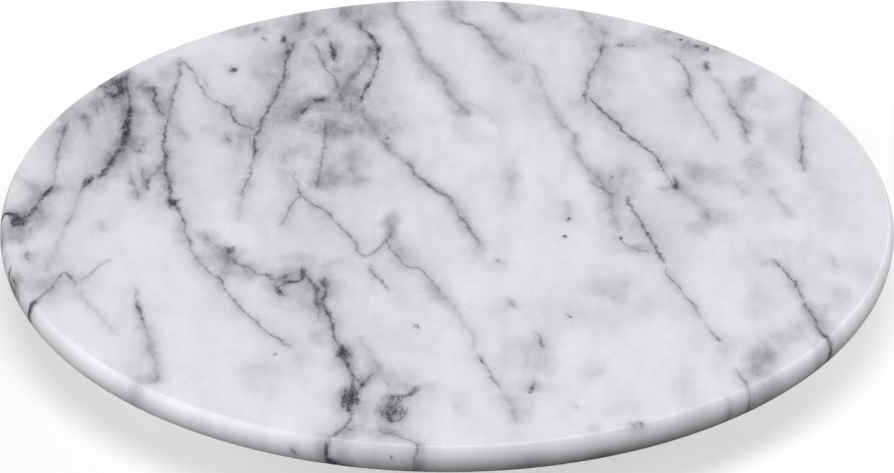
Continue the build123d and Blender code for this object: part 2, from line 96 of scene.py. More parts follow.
VEINS = [
    # left side
    ("bold", [(-111, 75), (-111, 66), (-111.5, 58), (-112, 50), (-114, 42), (-116, 34), (-118, 27),
        (-121, 20)]),
    ("dark", [(-112, 99), (-113, 90), (-112, 82), (-111, 73), (-110.6, 64)]),
    ("dark", [(-122.5, 27), (-123.5, 21), (-125, 17), (-126.5, 12)]),
    ("mist", [(-123.8, 20), (-126, 13), (-127, 6), (-127.5, 0), (-129, -6), (-130, -12), (-131.5, -20),
        (-133, -28), (-136, -44)]),
    ("thin", [(-127.5, -1), (-129, -7), (-130.3, -13)]),
    ("dark", [(-104, 88), (-102.5, 83), (-102.5, 77), (-101.5, 72), (-99.5, 68), (-97, 65)]),
    ("line", [(-95.5, 109), (-94.8, 102), (-94.5, 95), (-95.5, 87), (-96.5, 79), (-97, 71), (-97.2, 64)]),
    ("dark", [(-97.2, 66), (-98, 58), (-98.5, 50), (-98.3, 44), (-97.3, 38), (-97.5, 32), (-97, 26),
        (-95.5, 20), (-95, 14), (-95.3, 9), (-94, 5), (-92, 2), (-90.5, -4), (-89.5, -10)]),
    ("line", [(-90.8, -3), (-89.5, -10), (-88.5, -16), (-87, -21), (-86.2, -27), (-84.5, -32), (-82, -36.5),
        (-80, -41), (-76, -45.5), (-75, -51)]),
    ("line", [(-80, -41), (-76, -45.5), (-75, -50), (-72.5, -56), (-70, -61), (-68, -67), (-65, -70),
        (-62.5, -75), (-60, -79.5), (-56.5, -83), (-53.5, -87.5), (-50, -90)]),
    ("line", [(-96, 109), (-93, 104), (-90.5, 100), (-88.5, 93), (-87, 87), (-84.5, 81), (-82, 76.5),
        (-78, 73.5), (-75.5, 69)]),
    ("dark", [(-80, 75), (-76, 71), (-75, 66), (-73, 61), (-70, 58), (-65.5, 56)]),
    ("thin", [(-86, 96), (-85, 90), (-84.5, 83)]),
    ("mist", [(-95, 62), (-93, 56), (-90, 50)]),
    ("mist", [(-94, 60), (-92, 54), (-90, 50), (-89.5, 45)]),
    ("dark", [(-54, 122), (-55.5, 113), (-57, 107), (-57.2, 101), (-58, 94), (-59, 87), (-60.5, 79),
        (-62, 73), (-63.5, 66), (-65, 59), (-66.5, 52), (-66.8, 45), (-66.5, 36)]),
    ("line", [(-66.8, 47), (-66.5, 37), (-67.5, 30), (-68.2, 24), (-69.5, 16), (-70.5, 9)]),
    ("mist", [(-68.2, 24), (-69.5, 16), (-70.3, 10), (-70.8, 2), (-71.3, -9)]),
    ("thin", [(-55.5, 99), (-56.3, 93), (-57.8, 88)]),
    ("line", [(-77.5, 53), (-75.5, 49), (-73.8, 46)]),
    ("thin", [(-56.3, 40), (-55.8, 36), (-56.3, 31)]),
    ("line", [(-131.5, 66), (-133, 58), (-134, 49), (-134.8, 40), (-135, 32)]),
    ("thin", [(-134.5, 38), (-135, 30), (-135, 17)]),
    ("thin", [(-128, 70), (-126, 64), (-124.5, 57), (-124, 50)]),
    ("thin", [(-121, 76), (-122.5, 70), (-122, 64)]),
    ("line", [(-121.5, 87), (-119.5, 81), (-121.5, 76), (-121, 71)]),
    ("line", [(-119, 95), (-118, 90), (-115.5, 86), (-114, 80)]),
    ("line", [(-98.5, 34), (-100.5, 27), (-102.5, 21.5), (-103.5, 14)]),
    ("thin", [(-110.5, 29), (-108.5, 21), (-106.5, 13), (-105.3, 6)]),
    ("line", [(-151, -42.5), (-147, -42), (-144.5, -45), (-144, -50), (-145.5, -56)]),
    ("line", [(-147.5, -43), (-147.3, -49), (-145.8, -56)]),
    ("dark", [(-135, 20), (-136, 15), (-138, 11), (-139.5, 6), (-141, 1), (-143, -4), (-145.5, -8)]),
    ("mist", [(-152, 27), (-148, 23.5), (-145, 20.5), (-143, 17), (-141, 13), (-139.5, 8)]),
    ("dark", [(-156, -0.5), (-150.5, -1), (-148, -2), (-146, -6), (-144.5, -9)]),
    ("thin", [(-140.8, -8), (-141.3, -14), (-141.7, -20)]),
    ("line", [(-142.2, -25), (-141.5, -30), (-139.7, -35.5)]),
    ("line", [(-141, -64.5), (-137, -59.5), (-135, -55), (-132.5, -51), (-131.5, -46), (-129, -41.3),
        (-127, -43), (-125, -47), (-124, -52)]),
    ("thin", [(-125, -48), (-121, -43.5), (-118, -38), (-115, -33.5), (-111, -31.5)]),
    ("mist", [(-124, -50), (-122.5, -56), (-119, -62.5), (-116.5, -67), (-114.5, -72), (-112, -77),
        (-110.5, -82)]),
    ("mist", [(-119, -3), (-117.5, -9), (-116, -16)]),
    ("mist", [(-109, 22), (-107, 14), (-106, 7)]),
    ("line", [(-106, 34), (-105, 27), (-103.5, 21), (-103, 16), (-103.7, 11)]),
    ("thin", [(-104.5, -49), (-104, -56), (-103, -63), (-102, -68), (-100.7, -74), (-99.3, -82)]),
    ("line", [(-104.3, -58), (-103.2, -64), (-102, -69), (-101, -75)]),
    ("soft", [(-101.5, -72), (-99, -82), (-98, -88), (-96.7, -96), (-95.8, -104), (-95.5, -113)]),
    # upper middle
    ("soft", [(-51, 146), (-51.5, 138), (-51.5, 132), (-53.5, 125)]),
    ("dark", [(-31, 137), (-30.8, 130), (-28, 125.5), (-26, 121), (-24.5, 114), (-24.5, 106), (-25.5, 98),
        (-27, 91), (-28.5, 85), (-30, 79), (-30.5, 73)]),
    ("soft", [(-30.5, 75), (-29.5, 69), (-28, 64), (-26.5, 60), (-24, 54), (-21.5, 48), (-19, 41)]),
    ("soft", [(-27.5, 119), (-28, 110), (-29.5, 103), (-32, 97), (-34, 92), (-37, 86), (-38, 79)]),
    ("line", [(-48.8, 121), (-47, 115), (-45, 110), (-43.5, 104), (-42, 98), (-39.5, 93), (-38.7, 87),
        (-37.5, 80), (-36, 73)]),
    ("dark", [(-42, 121), (-41, 115), (-40.5, 110), (-39.6, 104)]),
    ("line", [(-43.8, 132), (-44.5, 127), (-45.3, 122)]),
    ("line", [(-42, 65), (-42.7, 58), (-42.3, 52), (-42.4, 46), (-42.8, 40), (-43.5, 34), (-44, 27),
        (-44.3, 20), (-44.8, 13)]),
    ("soft", [(-18.5, 152), (-18.3, 142), (-16.5, 135), (-14, 127), (-12, 120), (-10, 112), (-7.5, 105),
        (-5, 99), (-1.5, 94), (-0.5, 88), (0.5, 82), (3, 77.5), (5, 73), (6.5, 69), (8.3, 64)]),
    ("mist", [(3, 77.5), (7, 75.5), (11, 72), (15, 67), (17, 60)]),
    ("soft", [(0.5, 153), (1, 143), (3, 137.5), (6, 133.5), (9.5, 131.5), (12.5, 127), (15, 121), (17, 115),
        (18.5, 111), (21, 108), (25, 105)]),
    ("line", [(4, 136), (6, 133.5), (9.5, 131.5), (12.5, 127)]),
    ("mist", [(24, 107), (30, 103), (32, 97), (33, 89), (35, 79), (37, 70), (39.5, 62), (42.5, 56)]),
    ("soft", [(39, 63), (42.5, 56), (44.5, 52), (44.3, 46), (45, 40), (46, 35), (48, 30.5), (50.5, 25),
        (53, 20), (55, 14), (56, 8), (56.5, 2), (57.5, -6), (58.5, -15)]),
    ("line", [(48.5, 20.5), (51.5, 17.5), (54.5, 14.5), (55.5, 9)]),
    ("soft", [(19, 152), (22, 145), (24.5, 140), (27, 132)]),
    # right side
    ("soft", [(47, 145), (49.5, 137), (51.5, 131), (54, 128), (57.5, 126)]),
    ("line", [(55.5, 120), (54.7, 113), (53.5, 106), (51.8, 100), (50.2, 94), (49.5, 88), (48.6, 81)]),
    ("line", [(48.4, 86), (48.8, 80), (48, 73)]),
    ("dark", [(49.3, 81), (52.5, 74), (55, 69), (58, 63.5), (60, 59), (62, 54), (64, 50), (67.5, 46),
        (70, 41.5), (72.5, 37.5), (74, 32), (75, 26)]),
    ("thin", [(72.5, 38), (74, 32), (75, 27), (76.5, 21.5), (78.5, 15)]),
    ("mist", [(79.5, 23), (80.5, 16), (82.5, 11), (85, 6.5), (87.5, 1.5), (89, -5)]),
    ("line", [(79, 112), (83, 104), (84.5, 98), (85.5, 92), (85, 85), (85.5, 77)]),
    ("thin", [(85, 86), (85.5, 79), (87.5, 72), (89.5, 65), (91, 60), (93, 54), (94.5, 46)]),
    ("dark", [(91.3, 107), (91.6, 101), (91.6, 96)]),
    ("mist", [(92, 98), (94.5, 92), (97, 86), (99, 79), (101, 70), (103.5, 64), (105, 59), (104, 53),
        (104.5, 45)]),
    ("line", [(98.5, 80), (100, 72), (102.5, 64), (103.7, 57), (104.3, 50)]),
    ("thin", [(102, 67), (104.5, 62), (107, 57)]),
    ("mist", [(126.5, 84), (125, 74), (123.8, 65), (123.3, 57), (123, 50), (123.2, 44), (122.7, 37),
        (123, 31), (123.3, 25)]),
    ("line", [(123.3, 56), (122.8, 50), (123, 44), (122.5, 37), (122.9, 26)]),
    ("thin", [(58.4, -17), (60.5, -22), (64, -26), (68, -27), (71.5, -25)]),
    ("mist", [(41.3, 9), (41.6, 0), (41.2, -9)]),
    ("thin", [(77.5, 27), (78.6, 22), (78.4, 16), (80.5, 11)]),
    ("thin", [(72, 14), (74.5, 16), (78, 17)]),
    ("dark", [(61.3, 12.5), (62.5, 5), (64, -1), (65.5, -5), (66.8, -10), (67.8, -15), (69.5, -20),
        (71, -25.5), (72.2, -31), (73.2, -37)]),
    ("line", [(73, -35), (73.8, -40), (75.3, -45), (77.5, -50), (80, -57), (82, -61.5), (83.5, -66.5),
        (85.5, -73)]),
    ("thin", [(85, -71), (87.5, -78.5), (89, -83), (91, -87.5)]),
    ("line", [(95, -101), (96.3, -107), (97.5, -111.5), (98.8, -115), (102, -119)]),
    ("dark", [(109.5, -30.5), (112.5, -37), (114.7, -42.5), (117, -48), (118, -54)]),
    ("line", [(116, -45), (118, -54), (119.7, -61), (121.5, -68), (123.2, -76), (125, -82), (130, -86)]),
    ("soft", [(119.5, -60), (121.5, -68), (123, -76), (125, -82), (130, -86)]),
    ("mist", [(127.5, -58), (126, -65), (124.5, -72), (124.5, -79)]),
    ("mist", [(111, 18), (113, 8), (116, 0), (118.5, -7)]),
    ("mist", [(99, 22), (101, 15), (103, 9)]),
    ("mist", [(129.5, -27), (130.3, -35), (130.7, -42)]),
    # centre
    ("soft", [(-25.5, 53), (-22, 46), (-18.5, 40), (-15, 35.5), (-12.5, 30.5), (-10.5, 25.5), (-8, 20),
        (-5.5, 17), (-3, 13), (0, 10)]),
    ("line", [(-16, 36.5), (-12.5, 30.5), (-10.5, 25.5), (-8, 20), (-5.5, 17), (-3, 13), (0.3, 10.4),
        (3, 3)]),
    ("soft", [(-4, 14.5), (-0.3, 10.8), (2, 5), (4, 0), (5.8, -6), (7.5, -12), (9.5, -17), (11, -22),
        (10, -29)]),
    ("line", [(3.2, 2), (5.8, -6), (7.5, -12), (9.5, -17), (11.3, -23)]),
    ("thin", [(-53, 30), (-52, 22), (-51, 16), (-50, 11), (-51.5, 5)]),
    ("line", [(-50.5, 16), (-50.3, 11.5), (-52, 8), (-53.5, 3), (-55, -3), (-56, -8), (-59, -10)]),
    ("line", [(-51.5, 18), (-50, 11.5), (-47.5, 7.5), (-45.5, 4.3), (-43, 2.5), (-40.5, -0.8), (-39, -5),
        (-36.5, -10), (-34.5, -14), (-32.5, -18), (-31, -22), (-30, -27), (-27.5, -30.5)]),
    ("line", [(-31, -22), (-29.8, -28), (-28, -30), (-25.5, -29), (-23, -25), (-21, -20.5), (-19.5, -14)]),
    ("line", [(-19, -11), (-20, -17), (-20, -23), (-18, -27.5), (-16, -31.5), (-14.5, -36), (-12, -38),
        (-9.5, -37.3), (-8, -40.5), (-6, -45), (-4, -50), (-2, -55)]),
    ("mist", [(-3, -52), (1.5, -62), (4, -69.5), (6, -75.5), (8.5, -80.5), (9, -86), (10, -94)]),
    ("line", [(9.8, -91), (11.5, -98), (13.5, -104), (15.5, -110), (18.5, -117.5)]),
    ("mist", [(18, -115), (20, -123), (21.5, -130), (23, -139)]),
    ("line", [(-26.5, -33), (-25, -41), (-23, -45), (-20.5, -49.5), (-18.5, -55)]),
    # front
    ("soft", [(-82.5, -11), (-81.5, -18), (-80.5, -24), (-77.5, -29)]),
    ("soft", [(-73.5, -23), (-73.5, -29), (-74.8, -35), (-75.5, -41), (-76, -46)]),
    ("line", [(-73, -29), (-71, -35), (-68, -36.5), (-65.5, -39.5), (-63.5, -42.5), (-60, -43),
        (-58.5, -46), (-56, -44.5), (-53, -41)]),
    ("dark", [(-58, -52.5), (-55.5, -49.5), (-52.5, -47), (-49.5, -46), (-48.3, -41.5), (-48.5, -35)]),
    ("dark", [(-48.3, -41), (-46, -45), (-44.5, -50), (-43.5, -55), (-43, -62)]),
    ("dark", [(-41, -42), (-41.3, -48), (-40.5, -53), (-41.5, -60), (-40.5, -66), (-39, -70), (-38.2, -76),
        (-37, -83), (-36, -90)]),
    ("dark", [(-35.5, -87), (-34.5, -93), (-33, -99), (-31.8, -104), (-30.6, -109), (-30.6, -115),
        (-31, -121), (-32, -126), (-31.5, -131), (-32, -136), (-33.5, -139.5), (-35.5, -143),
        (-38.3, -145.8), (-39.6, -151)]),
    ("line", [(-34, -139.8), (-32, -140.3), (-29.5, -140.6)]),
    ("dark", [(-22.5, -104.5), (-25.5, -108), (-27.2, -111.5), (-28.1, -116)]),
    ("line", [(-23.5, -138.5), (-21, -142), (-17.5, -143), (-15, -145.5), (-11.5, -148), (-9.4, -150.4),
        (-9.6, -156)]),
    ("dark", [(-9, -114.5), (-12, -118.5), (-14, -120.5), (-17, -118.5)]),
    ("line", [(-17, -118), (-16, -124), (-19, -129), (-19.5, -134), (-16.5, -136), (-13.5, -131)]),
    ("line", [(27, -77.5), (30, -81), (31.2, -86), (32.5, -92)]),
    ("dark", [(28.6, -109.5), (27.7, -114), (27.3, -119)]),
    ("mist", [(19, -56), (21.5, -61), (23.5, -66)]),
    ("mist", [(-30, -80), (-27.5, -88), (-24, -97), (-21.5, -106), (-19, -113), (-16.5, -118)]),
    ("line", [(-35, -88), (-36, -93), (-34.2, -98), (-32.5, -104)]),
    ("dark", [(-33.5, -113), (-33.5, -119), (-34, -125), (-33, -130)]),
    ("line", [(-30.2, -101), (-31, -106), (-30.5, -112)]),
    ("line", [(-45.5, -47), (-44.5, -54), (-43.5, -60), (-44, -67)]),
    ("thin", [(-41, -60), (-42.5, -68), (-41.8, -76)]),
    ("thin", [(-22.5, -124), (-21.5, -130), (-20.5, -136)]),
    ("line", [(-17.5, -119), (-18.5, -124), (-17.5, -129), (-18.5, -134)]),
    ("line", [(-13, -125), (-12.8, -130), (-15, -134), (-18.5, -136)]),
]

# Ragged dark patches, where crystals of the darker mineral crowd: x, y, half-length along y, half-width,
# darkness and, for one that leans, its long axis in degrees clockwise from y.
PATCHES = [
    (-115.5, 91, 5, 2.2, 0.85, 20), (-114.5, 84, 5, 2, 0.9), (-117, 80.5, 4, 2, 0.8, -30),
    (-121.5, 87.5, 3.5, 1.2, 0.7, -60), (-111.6, 56, 13, 1.7, 0.95), (-123.5, 20.5, 3.5, 1.5, 0.8, 20),
    (-136.5, 13.5, 4, 1.2, 0.8, 30), (-146, -6.5, 5, 3, 1), (-150, -1.8, 1.2, 4, 0.85),
    (-94, 6, 3.4, 2.3, 0.95), (-91.8, 7.5, 1.5, 1, 0.7), (-97.6, 34.5, 5, 0.9, 0.7, 5),
    (-95.3, 14.5, 2.5, 0.9, 0.6), (-75.5, 99, 2.6, 1.3, 0.95, 25), (-74, 102, 2, 1, 0.4, 20),
    (-68, 128.5, 2.2, 0.9, 0.8, 15), (-65, 122, 2.2, 0.9, 0.8, -20), (-58, 121.5, 4, 1.3, 0.95, -5),
    (-57, 113, 4, 1.3, 0.65, -5), (-57.5, 92, 5, 1.1, 0.5, 5), (-94.5, 98, 3, 1, 0.45),
    (-104, 85, 4.5, 1.5, 0.55, 8), (-126.5, 65.5, 2.5, 2, 0.45), (-133.5, 57, 2.2, 2, 0.35),
    (-106.5, 41, 1.1, 1.7, 0.55), (-134.7, 37, 1.6, 0.6, 0.5), (-127, -43, 1, 2, 0.3),
    (-137.8, -60.8, 2.2, 1.1, 0.8), (-144.6, -45.5, 4, 1.6, 0.65, -15), (-103, -65, 4, 1, 0.6, -12),
    (-108.7, -81, 0.6, 1.7, 0.45), (-105, -50, 1.2, 0.8, 0.45), (-27, 123.5, 2.6, 1.4, 0.8, -20),
    (-24.2, 115, 5, 1.3, 0.7), (-27.2, 114, 5, 1, 0.5), (-40.3, 111.5, 6.5, 1.3, 0.9, -8),
    (-28, 88.5, 2.4, 1.3, 0.8, 10), (-45, 77.5, 1.9, 3.2, 0.95), (-50.5, 69.5, 4.5, 1.6, 0.75, 25),
    (-44.2, 20.5, 1.2, 0.8, 0.75), (-42.2, 55, 4, 0.7, 0.55), (-32, 96.5, 5, 1.6, 0.4, 25),
    (-37, 142, 5, 2.2, 0.4, -8), (-51.5, 133, 3, 1.2, 0.5), (-34, 73, 5, 4, 0.35),
    (-21, 51, 1.4, 0.8, 0.45), (4.9, 73, 1.5, 0.9, 0.35), (16.5, 116, 1, 1.2, 0.4),
    (44.5, 52.3, 1.4, 0.8, 0.5), (48.6, 81.5, 2.8, 0.9, 0.75), (50.1, 93.8, 1.2, 0.6, 0.7),
    (54.7, 113, 2.4, 0.8, 0.55), (57.3, 126, 1.5, 1.1, 0.5), (61.8, 117.2, 1.8, 1.8, 0.7),
    (65, 116.5, 1.4, 3, 0.55), (79, 126.5, 2.5, 1.5, 0.5, 60), (83.5, 121, 1.3, 2, 0.65),
    (85.8, 119.5, 1.6, 1.3, 0.75), (84, 117.5, 1.3, 1.5, 0.5), (89, 116.5, 2.8, 1.2, 0.65, -60),
    (92, 114, 1.7, 1.2, 0.8), (95, 116, 3.2, 1, 0.45, -50), (91.5, 102, 3.6, 0.9, 0.75),
    (85.7, 93.5, 1.5, 0.9, 0.4), (85, 83, 2.2, 1.1, 0.45), (97.3, 84, 1.5, 1, 0.35),
    (123.2, 43.5, 1.6, 0.8, 0.6), (104.3, 47.5, 2.6, 1.3, 0.4), (78.5, 20, 6, 1.2, 0.5),
    (78.5, 16.5, 2, 1.3, 0.95), (78.6, 23, 1.6, 0.9, 0.6), (73.5, 15, 0.8, 2, 0.4, 20),
    (57.1, 23.5, 1.3, 0.8, 0.6), (56.5, 11, 0.9, 1.4, 0.5), (58.7, -17.8, 1.2, 0.8, 0.95),
    (40, -17, 1.2, 0.7, 1), (41.4, -5.5, 1.7, 0.8, 0.85), (17.5, -33.5, 2, 0.9, 0.75, -25),
    (89.7, -84, 2.3, 0.9, 0.8, -25), (130.5, -41, 1.2, 0.9, 0.35), (50.5, 19.5, 2, 1.4, 0.45, -50),
    (89, -4.5, 3.6, 1.8, 0.4), (125.6, -82.3, 2.2, 0.9, 0.6, -30), (-73.5, -26.5, 3.6, 1.8, 0.7),
    (-56, -53, 4.2, 1.8, 0.8, -25), (-60, -42.5, 1.3, 1.5, 0.6), (-54.8, -43.2, 2.2, 1.2, 0.6, 40),
    (-48.5, -41, 4.2, 1.1, 0.75), (-52.5, -47, 1.2, 3, 0.7, -15), (-43.6, -51.5, 4.5, 2, 0.55, -8),
    (-42.5, -61, 5, 1.8, 0.45), (-39.3, -67.8, 2.6, 1.4, 0.65), (-34.5, -92, 6, 3, 0.85, -12),
    (-33, -98.5, 2.5, 1.1, 0.7, -20), (-31.5, -121, 8.5, 2.6, 0.9, 4), (-29, -111, 4, 1, 0.6, 15),
    (-29.4, -122, 4, 1.2, 0.7, -10), (-27.8, -113, 3, 1, 0.8, 8), (-17.8, -130.5, 7, 4.6, 0.62, 10),
    (-18, -135, 2.6, 1.6, 0.8), (-14.5, -129.5, 4.2, 1.2, 0.7), (-16.5, -120.5, 2.6, 3.6, 0.6),
    (-10.3, -116, 2.4, 1.1, 0.85, 20), (-22.3, -126.5, 2.2, 1, 0.5, -15), (-57, -94, 1, 0.6, 1),
    (-10, -76, 2.4, 0.9, 0.7, -25), (22, -61, 4.2, 1.1, 0.6, -20), (27.4, -117, 1.9, 0.7, 0.85),
    (11.5, -98, 3, 0.8, 0.5, -25), (30.8, -85, 3.4, 0.9, 0.45, -15), (32.6, -69, 1.3, 0.8, 0.35),
    (40.5, -69, 2.4, 1, 0.55, -30), (3, -127, 1.4, 0.8, 0.5, -20), (42, -127, 3, 0.9, 0.45, -30),
    (96.5, -107.5, 4, 0.8, 0.4, -15), (-40.8, -49.5, 2, 1.2, 0.55),
]

# Soft grey areas: the same numbers, with a strength in place of the darkness.
CLOUDS = [
    (-108, 50, 14, 3.2, 0.34), (-114, 80, 15, 6, 0.42), (-105, 22, 11, 5, 0.34), (-130, 56, 18, 7, 0.26),
    (-139, 8, 12, 5, 0.34, 15), (-146, -11, 9, 4, 0.45), (-137, -47, 10, 7, 0.26), (-133, 20, 12, 4, 0.16),
    (-112, 30, 8, 5, 0.15), (-94, 40, 8, 3, 0.2), (-64, 55, 14, 8, 0.22, 15), (-74, 50, 8, 5, 0.18),
    (-60, 105, 20, 6, 0.24), (-55, 135, 12, 6, 0.28), (-44, 120, 24, 10, 0.29), (-33, 141, 9, 11, 0.4),
    (-46, 73, 10, 13, 0.38), (-35, 74, 10, 7, 0.38), (-32, 103, 20, 5, 0.26), (-27, 60, 9, 7, 0.32),
    (-52, 62, 10, 6, 0.22, 20), (-33.5, 29, 12, 4.2, 0.36), (-31.5, 19, 7, 3, 0.32), (-34, 40, 19, 9, 0.3),
    (-48, 37, 3, 2, 0.3), (-43, 20, 12, 4, 0.18), (-18.5, -12.5, 9, 4, 0.6), (-17.5, -23, 8, 3, 0.22),
    (-46, -63, 12, 5, 0.3), (-53, -46, 7, 8, 0.34), (-37.5, -40, 9, 2, 0.2), (-33, -95, 9, 4.5, 0.3),
    (-25, -101, 14, 5, 0.24), (-31, -121, 16, 4, 0.26), (-28, -130, 14, 4, 0.2), (-17, -128, 11, 6.5, 0.42),
    (-20, -141, 6, 9, 0.36), (-41, -80, 10, 5, 0.22), (-80.5, -23, 8.5, 2.8, 0.56, -15),
    (-73, -32, 8, 3, 0.22), (-16, -60, 10, 8, 0.12), (23, 22, 16, 3.4, 0.24), (28, 90, 18, 5, 0.16),
    (-39, 60, 13, 13, 0.5), (3, 143, 7, 3.5, 0.32), (24, 142, 9, 4, 0.2, -15), (52, 122, 18, 7, 0.34),
    (67, 116, 6, 9, 0.3), (87, 114, 9, 10, 0.32), (103.5, 60, 11, 4, 0.26, -8),
    (106.8, 87, 10, 3.4, 0.5, 8), (85, 76, 26, 7, 0.14), (78, 122, 9, 9, 0.28), (52, 84, 12, 6, 0.2),
    (89, 26, 12, 7, 0.3), (89, -5, 7, 4.5, 0.3), (89, 12, 16, 14, 0.12), (57, 10, 17, 5, 0.28),
    (64.5, -26.5, 3.5, 7, 0.3), (61.5, -9, 14, 3.6, 0.22, -12), (55, -54, 12, 9, 0.24),
    (107, 34, 12, 5.5, 0.28), (105, 56, 9, 5, 0.2), (125, 72, 14, 4, 0.15), (126, 15, 14, 8, 0.16),
    (105, -30, 9, 6, 0.14), (-129, -32, 8, 7, 0.14), (-126, -47, 7, 8, 0.2), (-50, -35, 7, 9, 0.26),
    (25, -92, 12, 5, 0.16), (86, -10, 8, 5, 0.26), (-103, 26, 10, 5, 0.34), (-55, 42, 11, 8, 0.3),
    (111, 77, 8, 5, 0.16), (-132, 70, 8, 5, 0.36), (111, -85, 9, 6, 0.26), (104, -98, 12, 5, 0.4),
    (104, -58, 15, 5, 0.14), (125, -76, 7, 3, 0.12), (131, -58, 10, 5, 0.2), (30, -96, 16, 5, 0.26),
    (23, -125, 14, 5, 0.14), (8, -28, 7, 4, 0.16), (14.5, -38, 5, 4, 0.14), (3, -5, 10, 3, 0.12, -15),
    (-100, -98, 14, 3, 0.12), (-98, -109, 5, 4, 0.26), (-59, -106, 12, 6, 0.2), (19, 115, 14, 5, 0.2, -25),
    (24, 98, 14, 6, 0.2, -15), (31, 80, 14, 5, 0.18, -10), (38, 64, 12, 4, 0.12, -20),
    (-4, 98, 18, 4, 0.24, -25), (-14, 126, 16, 3.4, 0.1, -20), (5, 72, 10, 5, 0.24, -30),
    (23, 144, 8, 4, 0.24, -25), (-58, 113, 14, 7, 0.3), (-63, 98, 12, 6, 0.2), (-46, 128, 10, 5, 0.24),
    (-30, 105, 20, 5.5, 0.32, 5), (-34, 96, 16, 5, 0.3, 20), (-45, 78, 5.5, 14, 0.42),
    (-118, 88, 12, 8, 0.5), (-122, 76, 10, 7, 0.4, 30), (-130, 68, 12, 8, 0.32), (-110, 66, 12, 4, 0.2),
    (-104, 83, 7, 3.4, 0.5), (-100.5, 72, 8, 4, 0.35), (-97, 68, 25, 4, 0.2), (-95, 100, 9, 4, 0.26),
    (-75, 100, 5, 4, 0.25), (-70, 61, 10, 7, 0.28, 40), (-75, 86, 3, 3, 0.14), (-52, 66, 42, 34, 0.16),
    (-120, 55, 55, 26, 0.13), (-36, 42, 45, 24, 0.12), (-40, -30, 45, 28, 0.09), (56, 108, 22, 9, 0.2),
    (80, 30, 60, 30, 0.05), (-56, 30, 20, 6, 0.2), (-115, 40, 16, 4.5, 0.28, 20), (-40, -48, 10, 10, 0.3),
    (-45, -54, 10, 6, 0.3), (-70, 30, 22, 6, 0.15), (-74, -38, 8, 3, 0.24), (-98, 22, 16, 5, 0.3),
    (117, -21, 9, 10, 0.14), (-52, 14, 12, 5, 0.18), (-3, -55, 10, 4, 0.2, -25), (-6, 96, 16, 5, 0.16, -20),
    (-53, 70, 14, 10, 0.48), (80, -115, 12, 5, 0.14), (58, -128, 8, 8, 0.12), (50, -103, 4, 3, 0.22),
    (135, 20, 12, 5, 0.06), (-57, 85, 8, 7, 0.26), (-38, 82, 12, 9, 0.48), (-24, 76, 14, 8, 0.22),
    (-24, 60, 12, 11, 0.42), (-72, 55, 7, 13, 0.34), (-55, 127, 10, 8, 0.36), (-71, 129, 5, 8, 0.3),
    (33, 137, 10, 10, 0.22), (28, 112, 8, 6, 0.12), (95, 111, 6, 7, 0.28), (-118, 77, 7, 6, 0.46),
    (-99, 67, 4, 2.6, 0.42), (-106, 47, 10, 5, 0.34), (-120, 21, 10, 6, 0.28), (-106, 15, 12, 6, 0.28),
    (-38, 22, 12, 7, 0.42), (-141, -3, 14, 6, 0.42), (-139, 10, 12, 5, 0.32), (-144, -14, 10, 6, 0.5),
    (-138, -40, 16, 8, 0.16), (-43, 2, 13, 7, 0.16), (-81, -31, 6, 6, 0.32), (-90, -16, 6, 4, 0.2),
    (-67, -40, 6, 7, 0.34), (-40, -36, 6, 10, 0.24), (-54, -58, 10, 6, 0.3), (-17, -30, 12, 7, 0.24),
    (-49, -96, 12, 7, 0.15), (-18, -112, 10, 7, 0.22), (-14, -117, 5, 8, 0.34), (-27, -127, 7, 5, 0.28),
    (-33, -141, 5, 5, 0.36), (5, -126, 12, 6, 0.12), (-22, -77, 20, 13, 0.13), (40, -70, 10, 28, 0.12),
    (66, -64, 12, 10, 0.13), (94, -94, 11, 5, 0.2), (92, -3, 8, 8, 0.24), (115, 53, 14, 8, 0.17),
    (58, 20, 13, 7, 0.34), (80, 15, 7, 9, 0.22), (59, -18, 5, 5, 0.2), (47, 72, 10, 6, 0.2),
    (8, 57, 10, 6, 0.15), (98, 24, 10, 8, 0.12), (140, -38, 14, 6, 0.12), (16, -36, 5, 6, 0.2),
    (18, -66, 9, 6, 0.12), (-74, 50, 8, 9, 0.26), (-97, 95, 9, 4, 0.3), (-64, 63, 12, 5, 0.26, 12),
]

# Marks that show only on the edge: millimetres along it to the right of its front, and height over its upper
# rim, so mostly below nought. The other numbers are those of the lists above.
EDGE_PATCHES = [
    (-39.2, -4.5, 5.5, 0.7, 0.95), (-37.2, -8.6, 3, 1.3, 1, -50), (-34, -10.8, 1.3, 3.6, 0.9),
    (-17.8, -3.8, 0.7, 0.7, 1), (-50, -6.5, 1.8, 0.8, 0.75, -30), (-12, -11.2, 0.8, 2.4, 0.6),
    (62.2, 0.4, 1.2, 0.9, 0.7), (65, -0.4, 1.4, 0.8, 0.6), (27, -11, 0.7, 2.2, 0.4),
    (-199, -3.5, 3, 0.9, 0.85, -25), (-195, -4.5, 3.6, 1, 0.85, -35), (-190, -5, 3.2, 0.9, 0.8, -40),
    (-186, -5.5, 2.8, 0.8, 0.75, -20), (-193, -2, 0.9, 3, 0.7),
]
EDGE_CLOUDS = [
    (-40.8, -5, 7, 2.2, 0.34), (-35, -9.5, 4, 6, 0.55), (-24, -7, 8, 14, 0.12), (-9, -6, 8, 2, 0.38),
    (-12.5, -11, 2.6, 6, 0.5), (-50, -6, 3, 2, 0.2), (26.5, -9, 5, 4.5, 0.3), (51, -10, 3.5, 4, 0.4),
    (49, 2.5, 3, 3.4, 0.15), (63, 0, 2.4, 4, 0.3), (-192, -5, 6, 10, 0.36), (98, -6, 7, 1.6, 0.3),
    (142, -6, 7, 3, 0.24), (-207, -6, 8, 6, 0.2),
]

